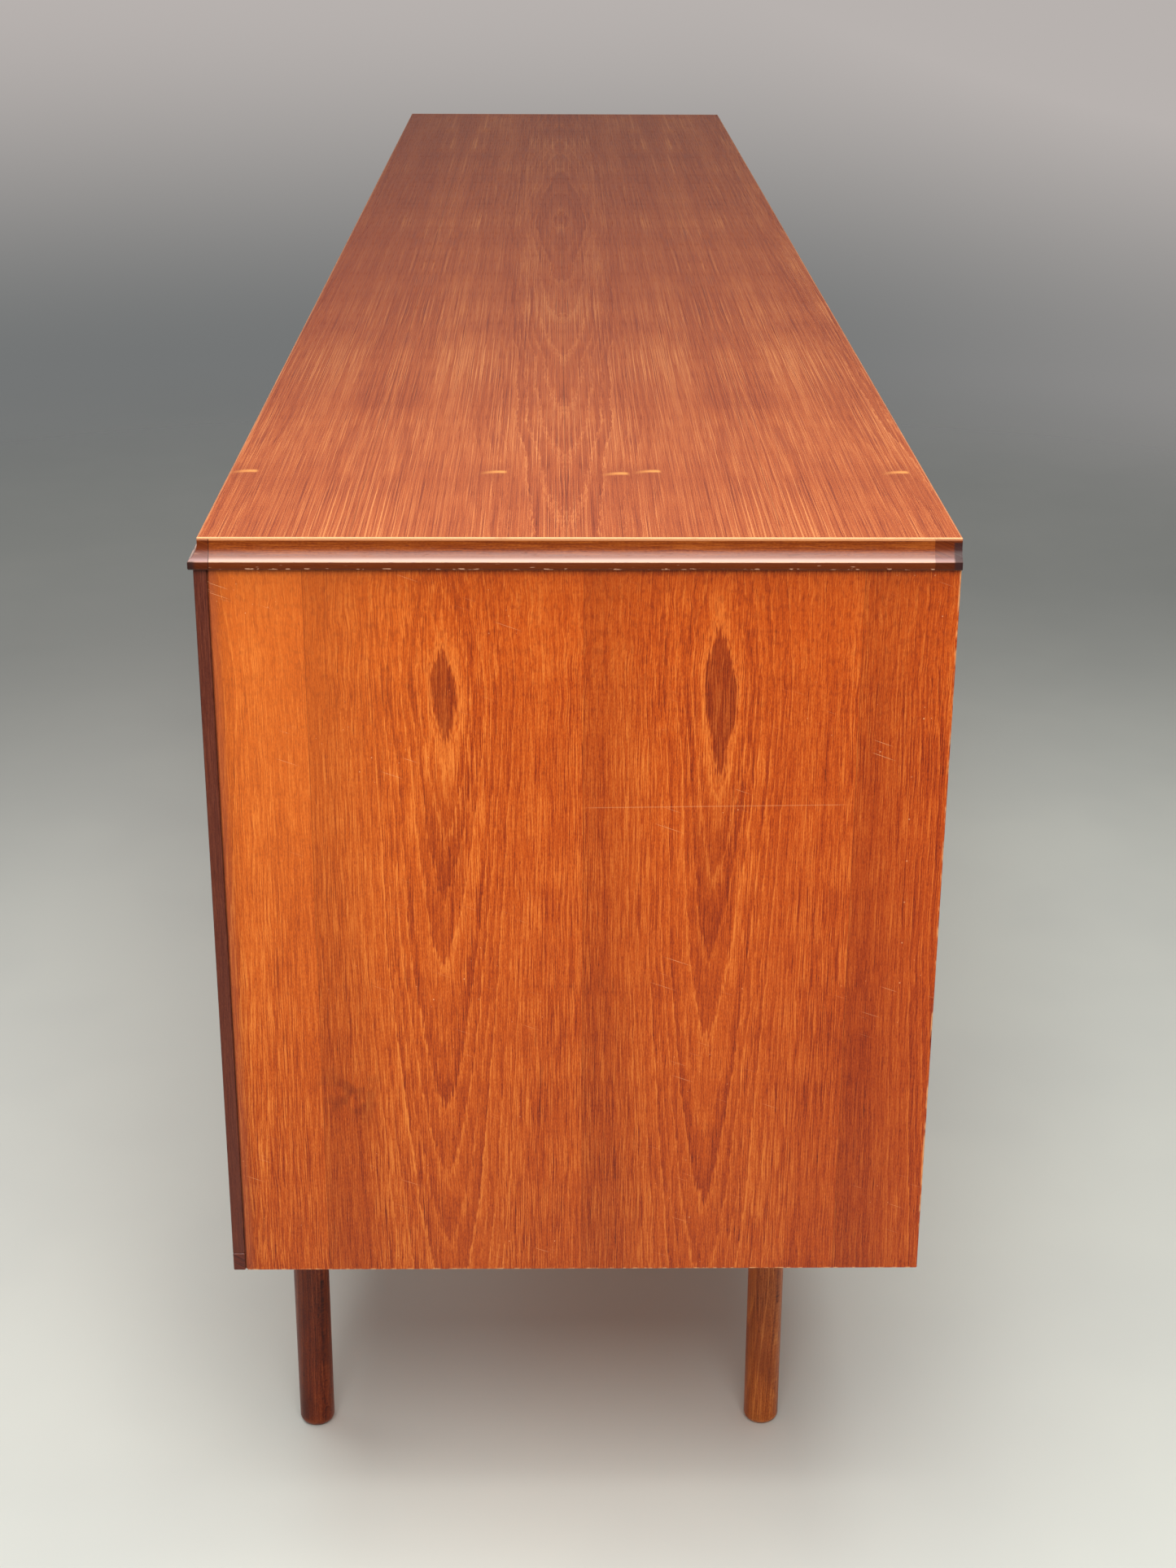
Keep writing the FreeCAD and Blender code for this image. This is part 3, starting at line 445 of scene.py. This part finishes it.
def end_veneer(name, seed):
    """Upright leaves laid one after another from the same log, so that each repeats the last:
    a dark eye near the top with long feathered tongues hanging below it."""
    material, tree, shader = new_material(name)
    xyz = places(tree)
    y = xyz["Y"] - SHEET_LOW.y / MM
    v = TOP_SURFACE / MM - xyz["Z"]
    number = ((y - END_SEAM) / END_LEAF).whole()
    within = (y - END_SEAM) - number * END_LEAF
    # each leaf is cut a little deeper than the one before, so its eye is wider and longer
    log = {
        "ring": 2.1, "heart": (END_HEART, 50), "taper": number * -0.008 + 0.043, "eye": END_EYE,
        "closing": 1.5, "sway": 3, "feather": 36,
    }
    eye_edge = number * 0.3 + 51.7
    distance, plain = log_rings(within, v, 0.0, log, seed)
    wave = grain_noise(y, v, size=(13, 22, 1), detail=1, seed=seed + 16) - 0.5
    sideways = wave * v.rise(150, 20, 0.0, 5.0)
    seen = wood_fields(within + number * 170 + sideways, v, (distance - eye_edge, plain), log, seed)
    colour = wood_colour(tree, seen, TEAK_END)
    # near the top the grain is fainter and pebbled
    colour = mixed(tree, colour, TEAK_END["ground"], v.rise(130, 20) * 0.35)
    pebbled = grain_noise(y, v, size=(2.6, 5.5, 1), detail=2, seed=seed + 17).rise(0.48, 0.66)
    colour = tinted(tree, colour, (0.70, 0.60, 0.5), pebbled * v.rise(200, 40) * 0.6)
    eye = distance.rise(eye_edge + 0.04, eye_edge - 0.1)
    tongues = v.rise(120, 210) * v.rise(700, 420) * distance.rise(59, 53) * 0.5
    colour = tinted(tree, colour, (0.66, 0.58, 0.6), eye.most(tongues))
    outline = distance.near(eye_edge + 0.2, 0.22)
    colour = mixed(tree, colour, TEAK_END["pale"], outline * plain * 0.6)
    colour = end_shades(tree, colour, y, v, within)
    seam = within.near(0, 0.5).most(within.near(END_LEAF, 0.5))
    colour = mixed(tree, colour, TEAK_END["pore"], seam * 0.4)
    colour, marks = end_wear(tree, colour, xyz, y, v, seed)
    finish_wood(tree, shader, colour, seen, marks, depth=0.06, specular=0.3)
    return material


# ---------------------------------------------------------------- the top's veneer

TOP_LEAF = 128  # width of a leaf
TOP_SEAM = 217  # the middle seam, from the sheet's front edge
# pin knots, as the distance from the front edge and the place along the grain from the right end
TOP_KNOTS = ((9, -158), (170, -156), (249, -152), (270, -158), (431, -156))
TOP_LOG = {
    "ring": 2.6, "heart": (1, 64), "taper": 0.016, "eye": -1250, "closing": 1.0, "sway": 5, "feather": 120,
}


def pin_knots(tree, colour, y, v):
    """Small pale wedges across the grain, each with a darker swirl round it."""
    for across, along in TOP_KNOTS:
        beside, past = y - across, v - along
        bent = past + beside * 0.25 - beside * beside * 0.03
        knot = beside.rise(-11, 6) * beside.rise(10, 7) * bent.near(0, 5.5)
        swirl = beside.near(-1, 20) * past.near(5, 36) * 0.3
        colour = mixed(tree, colour, TEAK_TOP["late"], swirl)
        colour = mixed(tree, colour, srgb(240, 160, 84), knot)
    return colour


def top_veneer(name, seed):
    """Leaves opened like a book, so that each seam is a mirror; the grain runs lengthwise."""
    material, tree, shader = new_material(name)
    xyz = places(tree)
    y = xyz["Y"] - SHEET_LOW.y / MM
    v = xyz["X"] - SHEET_HIGH.x / MM
    folded = abs(y - TOP_SEAM)
    u = folded.swing(TOP_LEAF)
    number = ((y - TOP_SEAM) / TOP_LEAF).whole()
    rings = log_rings(u, v, 0.0, TOP_LOG, seed)
    seen = wood_fields(u + number * 1.1, v, rings, TOP_LOG, seed, length=7.0, sparse=0.045)
    colour = wood_colour(tree, seen, TEAK_TOP, figure=0.5, contrast=0.95)
    leaf_tone = (chance(number, seed + 5) - 0.5) * 0.3
    # painted shade: besides each leaf's own tone, the top is painted darker away from the near end, where
    # less light falls, and towards the front
    tone = leaf_tone + v.rise(-100, -900) * 0.3 + y.rise(110, 30) * v.rise(-200, -600) * 0.2
    colour = mixed(tree, colour, TEAK_TOP["late"], tone.most(0))
    middle = TOP_LEAF / 2
    joint = abs(u - middle).rise(middle - 0.5, middle)
    colour = mixed(tree, colour, TEAK_TOP["pore"], joint * 0.4)
    colour = pin_knots(tree, colour, y, v)
    # pale along both ends, and a little along the front and back: partly rubbed wear, partly a painted
    # highlight on the arrises
    ends = (SHEET_HIGH.x / MM - abs(xyz["X"])).rise(1.9, 1.1)
    sides = y.least((SHEET_HIGH.y - SHEET_LOW.y) / MM - y).rise(1.4, 0.7) * 0.35
    patchy = grain_noise(y, v, size=(14, 14, 1), detail=2, seed=seed + 30)
    rubbed = ends.most(sides) * patchy.rise(0.2, 0.5, 0.5, 1.0)
    colour = mixed(tree, colour, srgb(242, 178, 124), rubbed)
    marks = scuffs(y, v, seed, amount=0.6)
    colour = mixed(tree, colour, TEAK_TOP["pale"], marks * 0.5)
    finish_wood(tree, shader, colour, seen, marks, rough=0.46)
    return material


# ---------------------------------------------------------------- coved lippings as fine meshes


def edge_levels():
    """The coved edge from the top down, as (distance out, height)."""
    cove_top = TOP_SURFACE - COVE_START
    lip_top = TOP_UNDER + LIP_HEIGHT
    drop = cove_top - lip_top
    radius = (LIP_OUT**2 + drop**2) / (2 * LIP_OUT)
    levels = [(0.0, SHEET_LOW.z), (0.0, cove_top)]
    turn = math.asin(drop / radius)
    for i in range(1, COVE_STEPS):
        angle = turn * i / COVE_STEPS
        levels.append((radius * (1 - math.cos(angle)), cove_top - radius * math.sin(angle)))
    levels.append((LIP_OUT - 0.45 * ARRIS_ROUND, lip_top + 0.05 * ARRIS_ROUND))
    levels.append((LIP_OUT, lip_top - ARRIS_ROUND))
    levels.append((LIP_OUT, TOP_UNDER + LIP_ROUND))
    for i in range(1, LIP_STEPS + 1):
        angle = math.pi / 2 * i / LIP_STEPS
        out = LIP_OUT - LIP_ROUND * (1 - math.cos(angle))
        levels.append((out, TOP_UNDER + LIP_ROUND * (1 - math.sin(angle))))
    return levels


def smooth_mesh(name, bm, material, sharp=35):
    """A piece from a bmesh: rounded parts smooth, corners sharp."""
    bmesh.ops.recalc_face_normals(bm, faces=bm.faces)
    mesh = bpy.data.meshes.new(name)
    bm.to_mesh(mesh)
    bm.free()
    mesh.shade_smooth()
    mesh.set_sharp_from_angle(angle=math.radians(sharp))
    piece = bpy.data.objects.new(name, mesh)
    bpy.context.scene.collection.objects.link(piece)
    mesh.materials.append(material)
    return piece


def stands_for(piece, node):
    """A finer piece takes the place of a carcass node: it joins the carcass, and the node is hidden."""
    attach(piece, "carcass")
    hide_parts(node)


def knocked(point, out):
    """A point of a lipping, moved in by a fraction of a millimetre where the lip is knocked."""
    if out <= 0.8 * LIP_OUT:
        return point
    rough = vector_noise.noise(point * 95) + 0.5 * vector_noise.noise(point * 260)
    dent = max(0.0, rough - 0.35) * KNOCK_DEPTH
    moved = point.copy()
    if abs(point.x) > SHEET_HIGH.x:
        moved.x -= math.copysign(dent, point.x)
    if point.y < SHEET_LOW.y:
        moved.y += dent
    return moved


def rectangle(x0, x1, y0, y1, count_x, count_y):
    """Points round a rectangle, with its sides cut into even steps."""
    ring = [(x0 + (x1 - x0) * i / count_x, y0) for i in range(count_x)]
    ring += [(x1, y0 + (y1 - y0) * i / count_y) for i in range(count_y)]
    ring += [(x1 - (x1 - x0) * i / count_x, y1) for i in range(count_x)]
    ring += [(x0, y1 - (y1 - y0) * i / count_y) for i in range(count_y)]
    return ring


def close_end(bm, row):
    """Faces across a ring of points, each joining two points to the two that face them."""
    bm.faces.new((row[0], row[1], row[-1]))
    for i in range(1, len(row) // 2):
        corners = list(dict.fromkeys((row[i], row[i + 1], row[-i - 1], row[-i])))
        if len(corners) > 2:
            bm.faces.new(corners)


def lipping(name, node, material, sides, lengthwise):
    """A length of coved edge. Each of its sides, low X, high X, low Y and high Y, is a place and
    which way the coving goes out from it: 1, -1, or 0 where the side is cut straight."""
    bm = bmesh.new()
    x0, x1, y0, y1 = (place for place, _ in sides)
    count_x = round((x1 - x0) / LIPPING_STEP) if lengthwise == "X" else 2
    count_y = round((y1 - y0) / LIPPING_STEP) if lengthwise == "Y" else 2
    rows = []
    for out, height in edge_levels():
        box = [place + way * out for place, way in sides]
        points = [Vector((x, y, height)) for x, y in rectangle(*box, count_x, count_y)]
        rows.append([bm.verts.new(knocked(point, out)) for point in points])
    for upper, lower in zip(rows, rows[1:]):
        for i in range(len(upper)):
            j = (i + 1) % len(upper)
            bm.faces.new((upper[i], upper[j], lower[j], lower[i]))
    close_end(bm, rows[0])
    close_end(bm, rows[-1])
    stands_for(smooth_mesh(name, bm, material), node)


def cove_wear(tree, colour, xyz, z, knocks):
    """The corners of the lippings, where the front length's end grain shows at each end."""
    lip_top = LIP_HEIGHT / MM
    from_front = xyz["Y"] - LOW.y / MM
    from_back = HIGH.y / MM - xyz["Y"]
    sheet_end = SHEET_HIGH.x / MM
    beyond = abs(xyz["X"]).rise(sheet_end - 0.4, sheet_end - 0.1)
    joint = xyz["Y"].near(CORE_LOW.y / MM, 0.4) * beyond
    colour = mixed(tree, colour, TEAK_DARK["pore"], joint * 0.85)
    # the lip's front corners are dark, with a few pale breaks beside them
    corner = from_front.rise(5.5, 2.5) * beyond * z.rise(lip_top + 1, lip_top - 0.5)
    colour = mixed(tree, colour, srgb(44, 26, 24), corner * 0.85)
    broken = from_front.near(4.5, 4.5) * beyond * z.near(lip_top + 1.5, 3.5) * knocks.rise(0.5, 0.56)
    colour = mixed(tree, colour, srgb(226, 176, 146), broken * 0.8)
    # painted shade: the rear end is painted dark below the veneer, as the shade of a cut-back end
    painted_shade_rear_end = from_back.rise(5.5, 4.0) * beyond * z.rise(16.2, 15.2)
    return mixed(tree, colour, srgb(46, 28, 30), painted_shade_rear_end * 0.85)


def cove_wood(name, grain, seed):
    """Solid teak of the lippings: pale in the hollow, where the overhead light's reflection is painted, and
    where hands have rubbed the arrises, with a painted highlight along the top arris.
    """
    material, tree, shader = new_material(name)
    xyz = places(tree)
    across = "Y" if grain == "X" else "X"
    u, v = xyz["Z"] + xyz[across] * 0.4, xyz[grain]
    z = xyz["Z"] - TOP_UNDER / MM
    lip_top = LIP_HEIGHT / MM
    rings = log_rings(u, v, 0.0, {**STRAIGHT, "heart": (400, 90)}, seed)
    seen = wood_fields(u, v, rings, STRAIGHT, seed)
    colour = wood_colour(tree, seen, TEAK_COVE, figure=0.6, contrast=0.7)
    colour = mixed(tree, colour, srgb(92, 38, 8), z.rise(lip_top + 0.3, lip_top - 0.3) * 0.85)
    # painted highlight: the lower hollow, which faces the light above, is painted pale pink as that light's
    # reflection
    hollow = z.rise(lip_top - 0.3, lip_top)
    colour = mixed(tree, colour, srgb(150, 108, 94), z.rise(lip_top + 6.5, lip_top + 1.0) * hollow * 0.8)
    colour = mixed(tree, colour, srgb(220, 190, 178), z.rise(lip_top + 2.6, lip_top + 0.4) * hollow * 0.7)
    knocks = grain_noise(v, z, size=(7, 3, 1), detail=2, seed=seed + 50)
    lines = z.near(lip_top, 0.6) * knocks.rise(0.3, 0.5, 0.3, 1.0)
    lines = lines + z.near(0.9, 0.7) * knocks.rise(0.58, 0.63)
    chips = z.near(2.6, 2.0) * grain_noise(v, z, size=(9, 1.1, 1), detail=1, seed=seed + 51).rise(0.71, 0.76)
    colour = mixed(tree, colour, srgb(226, 172, 138), (lines + chips * 0.7).least(1.0) * 0.8)
    # a pale line along the top arris: partly rubbed wear, partly a painted highlight
    top_arris_wear_and_highlight = z.rise(16.4, 17.2)
    colour = mixed(tree, colour, srgb(226, 156, 106), top_arris_wear_and_highlight * 0.9)
    if grain == "X":
        sheet_end = SHEET_HIGH.x / MM
        end_grain = abs(xyz["X"]).rise(sheet_end - 0.4, sheet_end - 0.1)
        colour = tinted(tree, colour, (0.62, 0.55, 0.62), end_grain * 0.9)
    colour = cove_wear(tree, colour, xyz, z, knocks)
    finish_wood(tree, shader, colour, seen, chips, rough=0.32, depth=0.02, specular=0.22)
    return material


def make_lippings():
    half, front = SHEET_HIGH.x, SHEET_LOW.y
    inner_x, inner_front, rail_front = CORE_HIGH.x, CORE_LOW.y, CORE_HIGH.y
    long_way, short_way = cove_wood("cove_long", "X", 3.0), cove_wood("cove_short", "Y", 4.0)
    rear_way = cove_wood("cove_rear", "X", 6.0)
    dress("top_rear_rail", rear_way)
    dress("top_rear_blocks", rear_way)
    sides = [(-half, -1), (half, 1), (front, -1), (inner_front, 0)]
    lipping("cove_front", "top_moulding_front", long_way, sides, "X")
    between = [(inner_front, 0), (rail_front, 0)]
    lipping("cove_right", "top_moulding_right", short_way, [(inner_x, 0), (half, 1), *between], "Y")
    lipping("cove_left", "top_moulding_left", short_way, [(-half, -1), (-inner_x, 0), *between], "Y")


# ---------------------------------------------------------------- legs as fine meshes


def leg_outline(radius, low, high):
    """A leg's half section from the middle of its foot up, as (radius, height)."""
    foot = radius - FOOT_TAPER
    flat, shoulder = foot - FOOT_ROUND, low + FOOT_ROUND
    outline = [(0.0, low), (flat * 0.5, low), (flat, low)]
    for i in range(1, FOOT_STEPS + 1):
        angle = math.pi / 2 * i / FOOT_STEPS
        outline.append((flat + FOOT_ROUND * math.sin(angle), low + FOOT_ROUND * (1 - math.cos(angle))))
    for i in range(1, LEG_STEPS + 1):
        share = i / LEG_STEPS
        outline.append((foot + (radius - foot) * share, shoulder + (high - shoulder) * share))
    return outline + [(radius * 0.5, high), (0.0, high)]


def make_leg(node, material):
    """A turned leg: nearly straight, with a rounded foot."""
    low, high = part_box(node)
    centre = (low + high) / 2
    bm = bmesh.new()
    turns = [2 * math.pi * k / LEG_SIDES for k in range(LEG_SIDES)]
    rings = []
    for r, z in leg_outline((high.x - low.x) / 2, low.z, high.z):
        places_round = [(centre.x + r * math.cos(t), centre.y + r * math.sin(t), z) for t in turns]
        if r == 0.0:
            places_round = [(centre.x, centre.y, z)]
        rings.append([bm.verts.new(place) for place in places_round])
    for one, two in zip(rings, rings[1:]):
        for k in range(LEG_SIDES):
            j = k + 1
            corners = (one[k % len(one)], one[j % len(one)], two[j % len(two)], two[k % len(two)])
            bm.faces.new(list(dict.fromkeys(corners)))
    stands_for(smooth_mesh(node + "_turned", bm, material, sharp=50), node)


def leg_wood(name, palette, centre, seed):
    """The log's rings cut by a round leg: tongues of grain up its sides."""
    material, tree, shader = new_material(name)
    xyz = places(tree)
    u, w, v = xyz["X"] - centre.x / MM, xyz["Y"] - centre.y / MM, xyz["Z"]
    rings = log_rings(u, v, w, TURNED, seed)
    seen = wood_fields(u * 1.2 + w * 1.1, v, rings, TURNED, seed)
    colour = wood_colour(tree, seen, palette, figure=0.9, contrast=0.75)
    stained = grain_noise(u, v, w, size=(22, 60, 22), detail=2, seed=seed + 34).rise(0.5, 0.7)
    colour = mixed(tree, colour, palette["late"], stained * v.rise(150, 20) * 0.7)
    marks = scuffs(u + w, v, seed)
    colour = mixed(tree, colour, palette["pale"], marks * 0.5)
    scraped = v.rise(9, 2) * grain_noise(u, v, w, size=(5, 5, 5), detail=2, seed=seed + 33).rise(0.45, 0.6)
    colour = mixed(tree, colour, palette["pale"], scraped * 0.6)
    finish_wood(tree, shader, colour, seen, marks, rough=0.36, specular=0.25)
    return material


# ---------------------------------------------------------------- metals


def metal(name, colour, dull, rough):
    """Plated or turned metal that has dulled in patches."""
    material, tree, shader = new_material(name)
    xyz = places(tree)
    patches = grain_noise(xyz["X"], xyz["Y"], xyz["Z"], size=(5, 5, 5), detail=3, seed=8.0)
    fine = grain_noise(xyz["X"], xyz["Y"], xyz["Z"], size=(0.5, 0.5, 0.5), detail=2, seed=9.0)
    feed(tree, mixed(tree, colour, dull, patches.rise(0.4, 0.66)), shader.inputs["Base Color"])
    feed(tree, patches.rise(0.35, 0.65, rough, rough + 0.2), shader.inputs["Roughness"])
    shader.inputs["Metallic"].default_value = 1.0
    bumped(tree, shader, fine, 0.02)
    return material


# ---------------------------------------------------------------- a material for every node


def dress(node, material):
    """Puts a material in every slot of a CAD node."""
    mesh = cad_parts[node].data
    if not mesh.materials:
        mesh.materials.append(material)
    for i in range(len(mesh.materials)):
        mesh.materials[i] = material


def dress_board(node, palette, grain, across, log=STRAIGHT, **look):
    """A material made for one board. Its seed comes from its name, so that no two look alike."""
    seed = float(sum(ord(letter) for letter in node) % 97)
    dress(node, board_wood("wood_" + node, palette, grain, across, log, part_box(node), seed, **look))


def dress_carcass():
    dress("top_veneer", top_veneer("veneer_top", seed=5.0))
    end = end_veneer("veneer_end", seed=2.0)
    dress("end_panel_right", end)
    dress("end_panel_left", end)
    for side in ("left", "right"):
        dress_board(f"front_strip_{side}", TEAK_STRIP, "Z", "Y", SOLID, figure=0.5, worn=0.6)
        dress_board(f"partition_{side}", TEAK_INSIDE, "Z", "Y")
        dress_board(f"shelf_{side}", TEAK_INSIDE, "X", "Y")
    dress_board("bottom_front_strip", TEAK_DARK, "X", "Z", SOLID)
    dress_board("partition_strips", TEAK_DARK, "Z", "X", SOLID)
    dress_board("upper_track_rail", TEAK_DARK, "X", "Y", SOLID)
    dress_board("lower_track_rail", TEAK_DARK, "X", "Y", SOLID)
    dress_board("bottom_panel", TEAK_INSIDE, "X", "Y")
    dress_board("top_core", BLOCKBOARD, "X", "Y")
    dress_board("back_panels", PLY, "Z", "X")
    dress_board("drawer_runners", BEECH, "Y", "Z", SOLID)
    dress_board("carcass_dowels", BEECH, "X", "Y", SOLID)


def dress_doors():
    for side in ("left", "right"):
        for which in ("outer", "inner"):
            dress_board(f"door_{side}_{which}", TEAK_END, "Z", "X", DOOR_LOG)
            dress_board(f"door_grip_{side}_{which}", TEAK_DARK, "Z", "X", SOLID)


def dress_drawers():
    for number in range(1, 5):
        drawer = f"drawer_{number}"
        dress_board(f"{drawer}_front", TEAK_END, "X", "Z", DRAWER_LOG)
        dress_board(f"{drawer}_grip", TEAK_DARK, "X", "Z", SOLID)
        dress_board(f"{drawer}_sides", BEECH, "Y", "Z")
        dress_board(f"{drawer}_back", BEECH, "X", "Z")
        dress_board(f"{drawer}_bottom", PLY, "X", "Y")


def dress_metal():
    steel = metal("plated_steel", srgb(190, 190, 186), srgb(140, 136, 128), 0.35)
    brass = metal("dull_brass", srgb(206, 168, 98), srgb(150, 112, 58), 0.3)
    for node in ("leg_plates", "leg_plate_screws", "leg_studs", "back_panel_screws"):
        dress(node, steel)
    dress("shelf_pins", brass)


def make_legs():
    for name in ("front_left", "front_right", "rear_left", "rear_right"):
        low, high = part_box("leg_" + name)
        palette = TEAK_LEG if name.startswith("front") else TEAK_PALE_LEG
        material = leg_wood("wood_leg_" + name, palette, (low + high) / 2, seed=float(len(name)))
        make_leg("leg_" + name, material)


# ---------------------------------------------------------------- floor, light and camera


def make_floor():
    """A pale floor, darker away from the light, that fades into the grey of the room."""
    lit_x, lit_y = 600, 350  # the middle of the light on the floor, in millimetres
    bm = bmesh.new()
    bmesh.ops.create_circle(bm, cap_ends=True, radius=9.0, segments=96)
    material, tree, shader = new_material("pale_floor")
    xyz = places(tree)
    x, y = xyz["X"], xyz["Y"]
    cloud = grain_noise(x, y, size=(420, 420, 1), detail=3, seed=1.0)
    pale = mixed(tree, srgb(222, 226, 220), srgb(216, 220, 215), cloud.rise(0.4, 0.65))
    from_light = ((x - lit_x) * (x - lit_x) + (y - lit_y) * (y - lit_y)).root()
    pale = mixed(tree, pale, srgb(150, 153, 151), from_light.rise(700, 2100) * 0.85)
    feed(tree, pale, shader.inputs["Base Color"])
    feed(tree, cloud.rise(0.3, 0.7, 0.4, 0.52), shader.inputs["Roughness"])
    from_middle = (x * x + y * y).root()
    feed(tree, from_middle.rise(3300, 1700), shader.inputs["Alpha"])
    smooth_mesh("floor", bm, material)


def soft_light(name, place, target, size, power, tint):
    """A large area light, in metres and watts, turned to face its target."""
    light = bpy.data.lights.new(name, "AREA")
    light.shape = "RECTANGLE"
    light.size, light.size_y = size
    light.energy = power
    light.color = tint
    lamp = bpy.data.objects.new(name, light)
    lamp.location = place
    lamp.rotation_euler = (Vector(target) - Vector(place)).to_track_quat("-Z", "Y").to_euler()
    bpy.context.scene.collection.objects.link(lamp)


def make_lights():
    warm, warmer = (1.0, 0.985, 0.96), (1.0, 0.98, 0.95)
    soft_light("overhead", (1.75, -0.05, 2.7), (1.75, 0.0, 0.0), (1.5, 1.5), 33, warm)
    soft_light("key", (3.2, 0.1, 2.9), (1.3, 0.0, 0.45), (1.8, 1.6), 95, warmer)
    soft_light("front_fill", (-0.9, -2.6, 3.3), (-0.3, 0.0, 0.4), (2.4, 1.4), 16, warm)


def make_room():
    """The grey round the floor: dark below the horizon, paler at it and towards the rear."""
    world = bpy.data.worlds.new("room")
    bpy.context.scene.world = world
    world.use_nodes = True
    tree = world.node_tree
    split = tree.nodes.new("ShaderNodeSeparateXYZ")
    tree.links.new(tree.nodes.new("ShaderNodeTexCoord").outputs["Generated"], split.inputs[0])
    upwards, sideways = Field(tree, split.outputs["Z"]), Field(tree, split.outputs["Y"])
    lit = upwards.rise(-0.20, -0.05) + sideways.rise(0.05, 0.3) * 0.35
    walls = mixed(tree, srgb(116, 118, 118), srgb(184, 178, 175), lit)
    backdrop = tree.nodes["Background"]
    feed(tree, mixed(tree, walls, srgb(128, 129, 128), upwards.rise(0.0, 0.5)), backdrop.inputs["Color"])
    backdrop.inputs["Strength"].default_value = 1.0


def make_camera():
    """Stands past the right end and looks back along the sideboard from a little above it."""
    near_corner = Vector((SHEET_HIGH.x, SHEET_LOW.y, TOP_SURFACE))
    place = near_corner + Vector((1.3590, 0.2103, 0.3845))
    pitch, yaw, roll = math.radians(21.672), math.radians(0.8455), math.radians(0.2766)
    ahead = (-math.cos(pitch) * math.cos(yaw), math.cos(pitch) * math.sin(yaw), -math.sin(pitch))
    forward = Vector(ahead)
    level = forward.cross(Vector((0, 0, 1))).normalized()
    upright = level.cross(forward)
    right = level * math.cos(roll) + upright * math.sin(roll)
    up = upright * math.cos(roll) - level * math.sin(roll)
    data = bpy.data.cameras.new("camera")
    data.sensor_width = 36
    data.lens = 54.90
    data.clip_start = 0.05
    camera = bpy.data.objects.new("camera", data)
    camera.matrix_world = Matrix.Translation(place) @ Matrix((right, up, -forward)).transposed().to_4x4()
    bpy.context.scene.collection.objects.link(camera)
    bpy.context.scene.camera = camera


dress_carcass()
dress_doors()
dress_drawers()
dress_metal()
make_legs()
make_lippings()
make_floor()
make_lights()
make_room()
make_camera()
bpy.context.scene.view_settings.view_transform = "Standard"
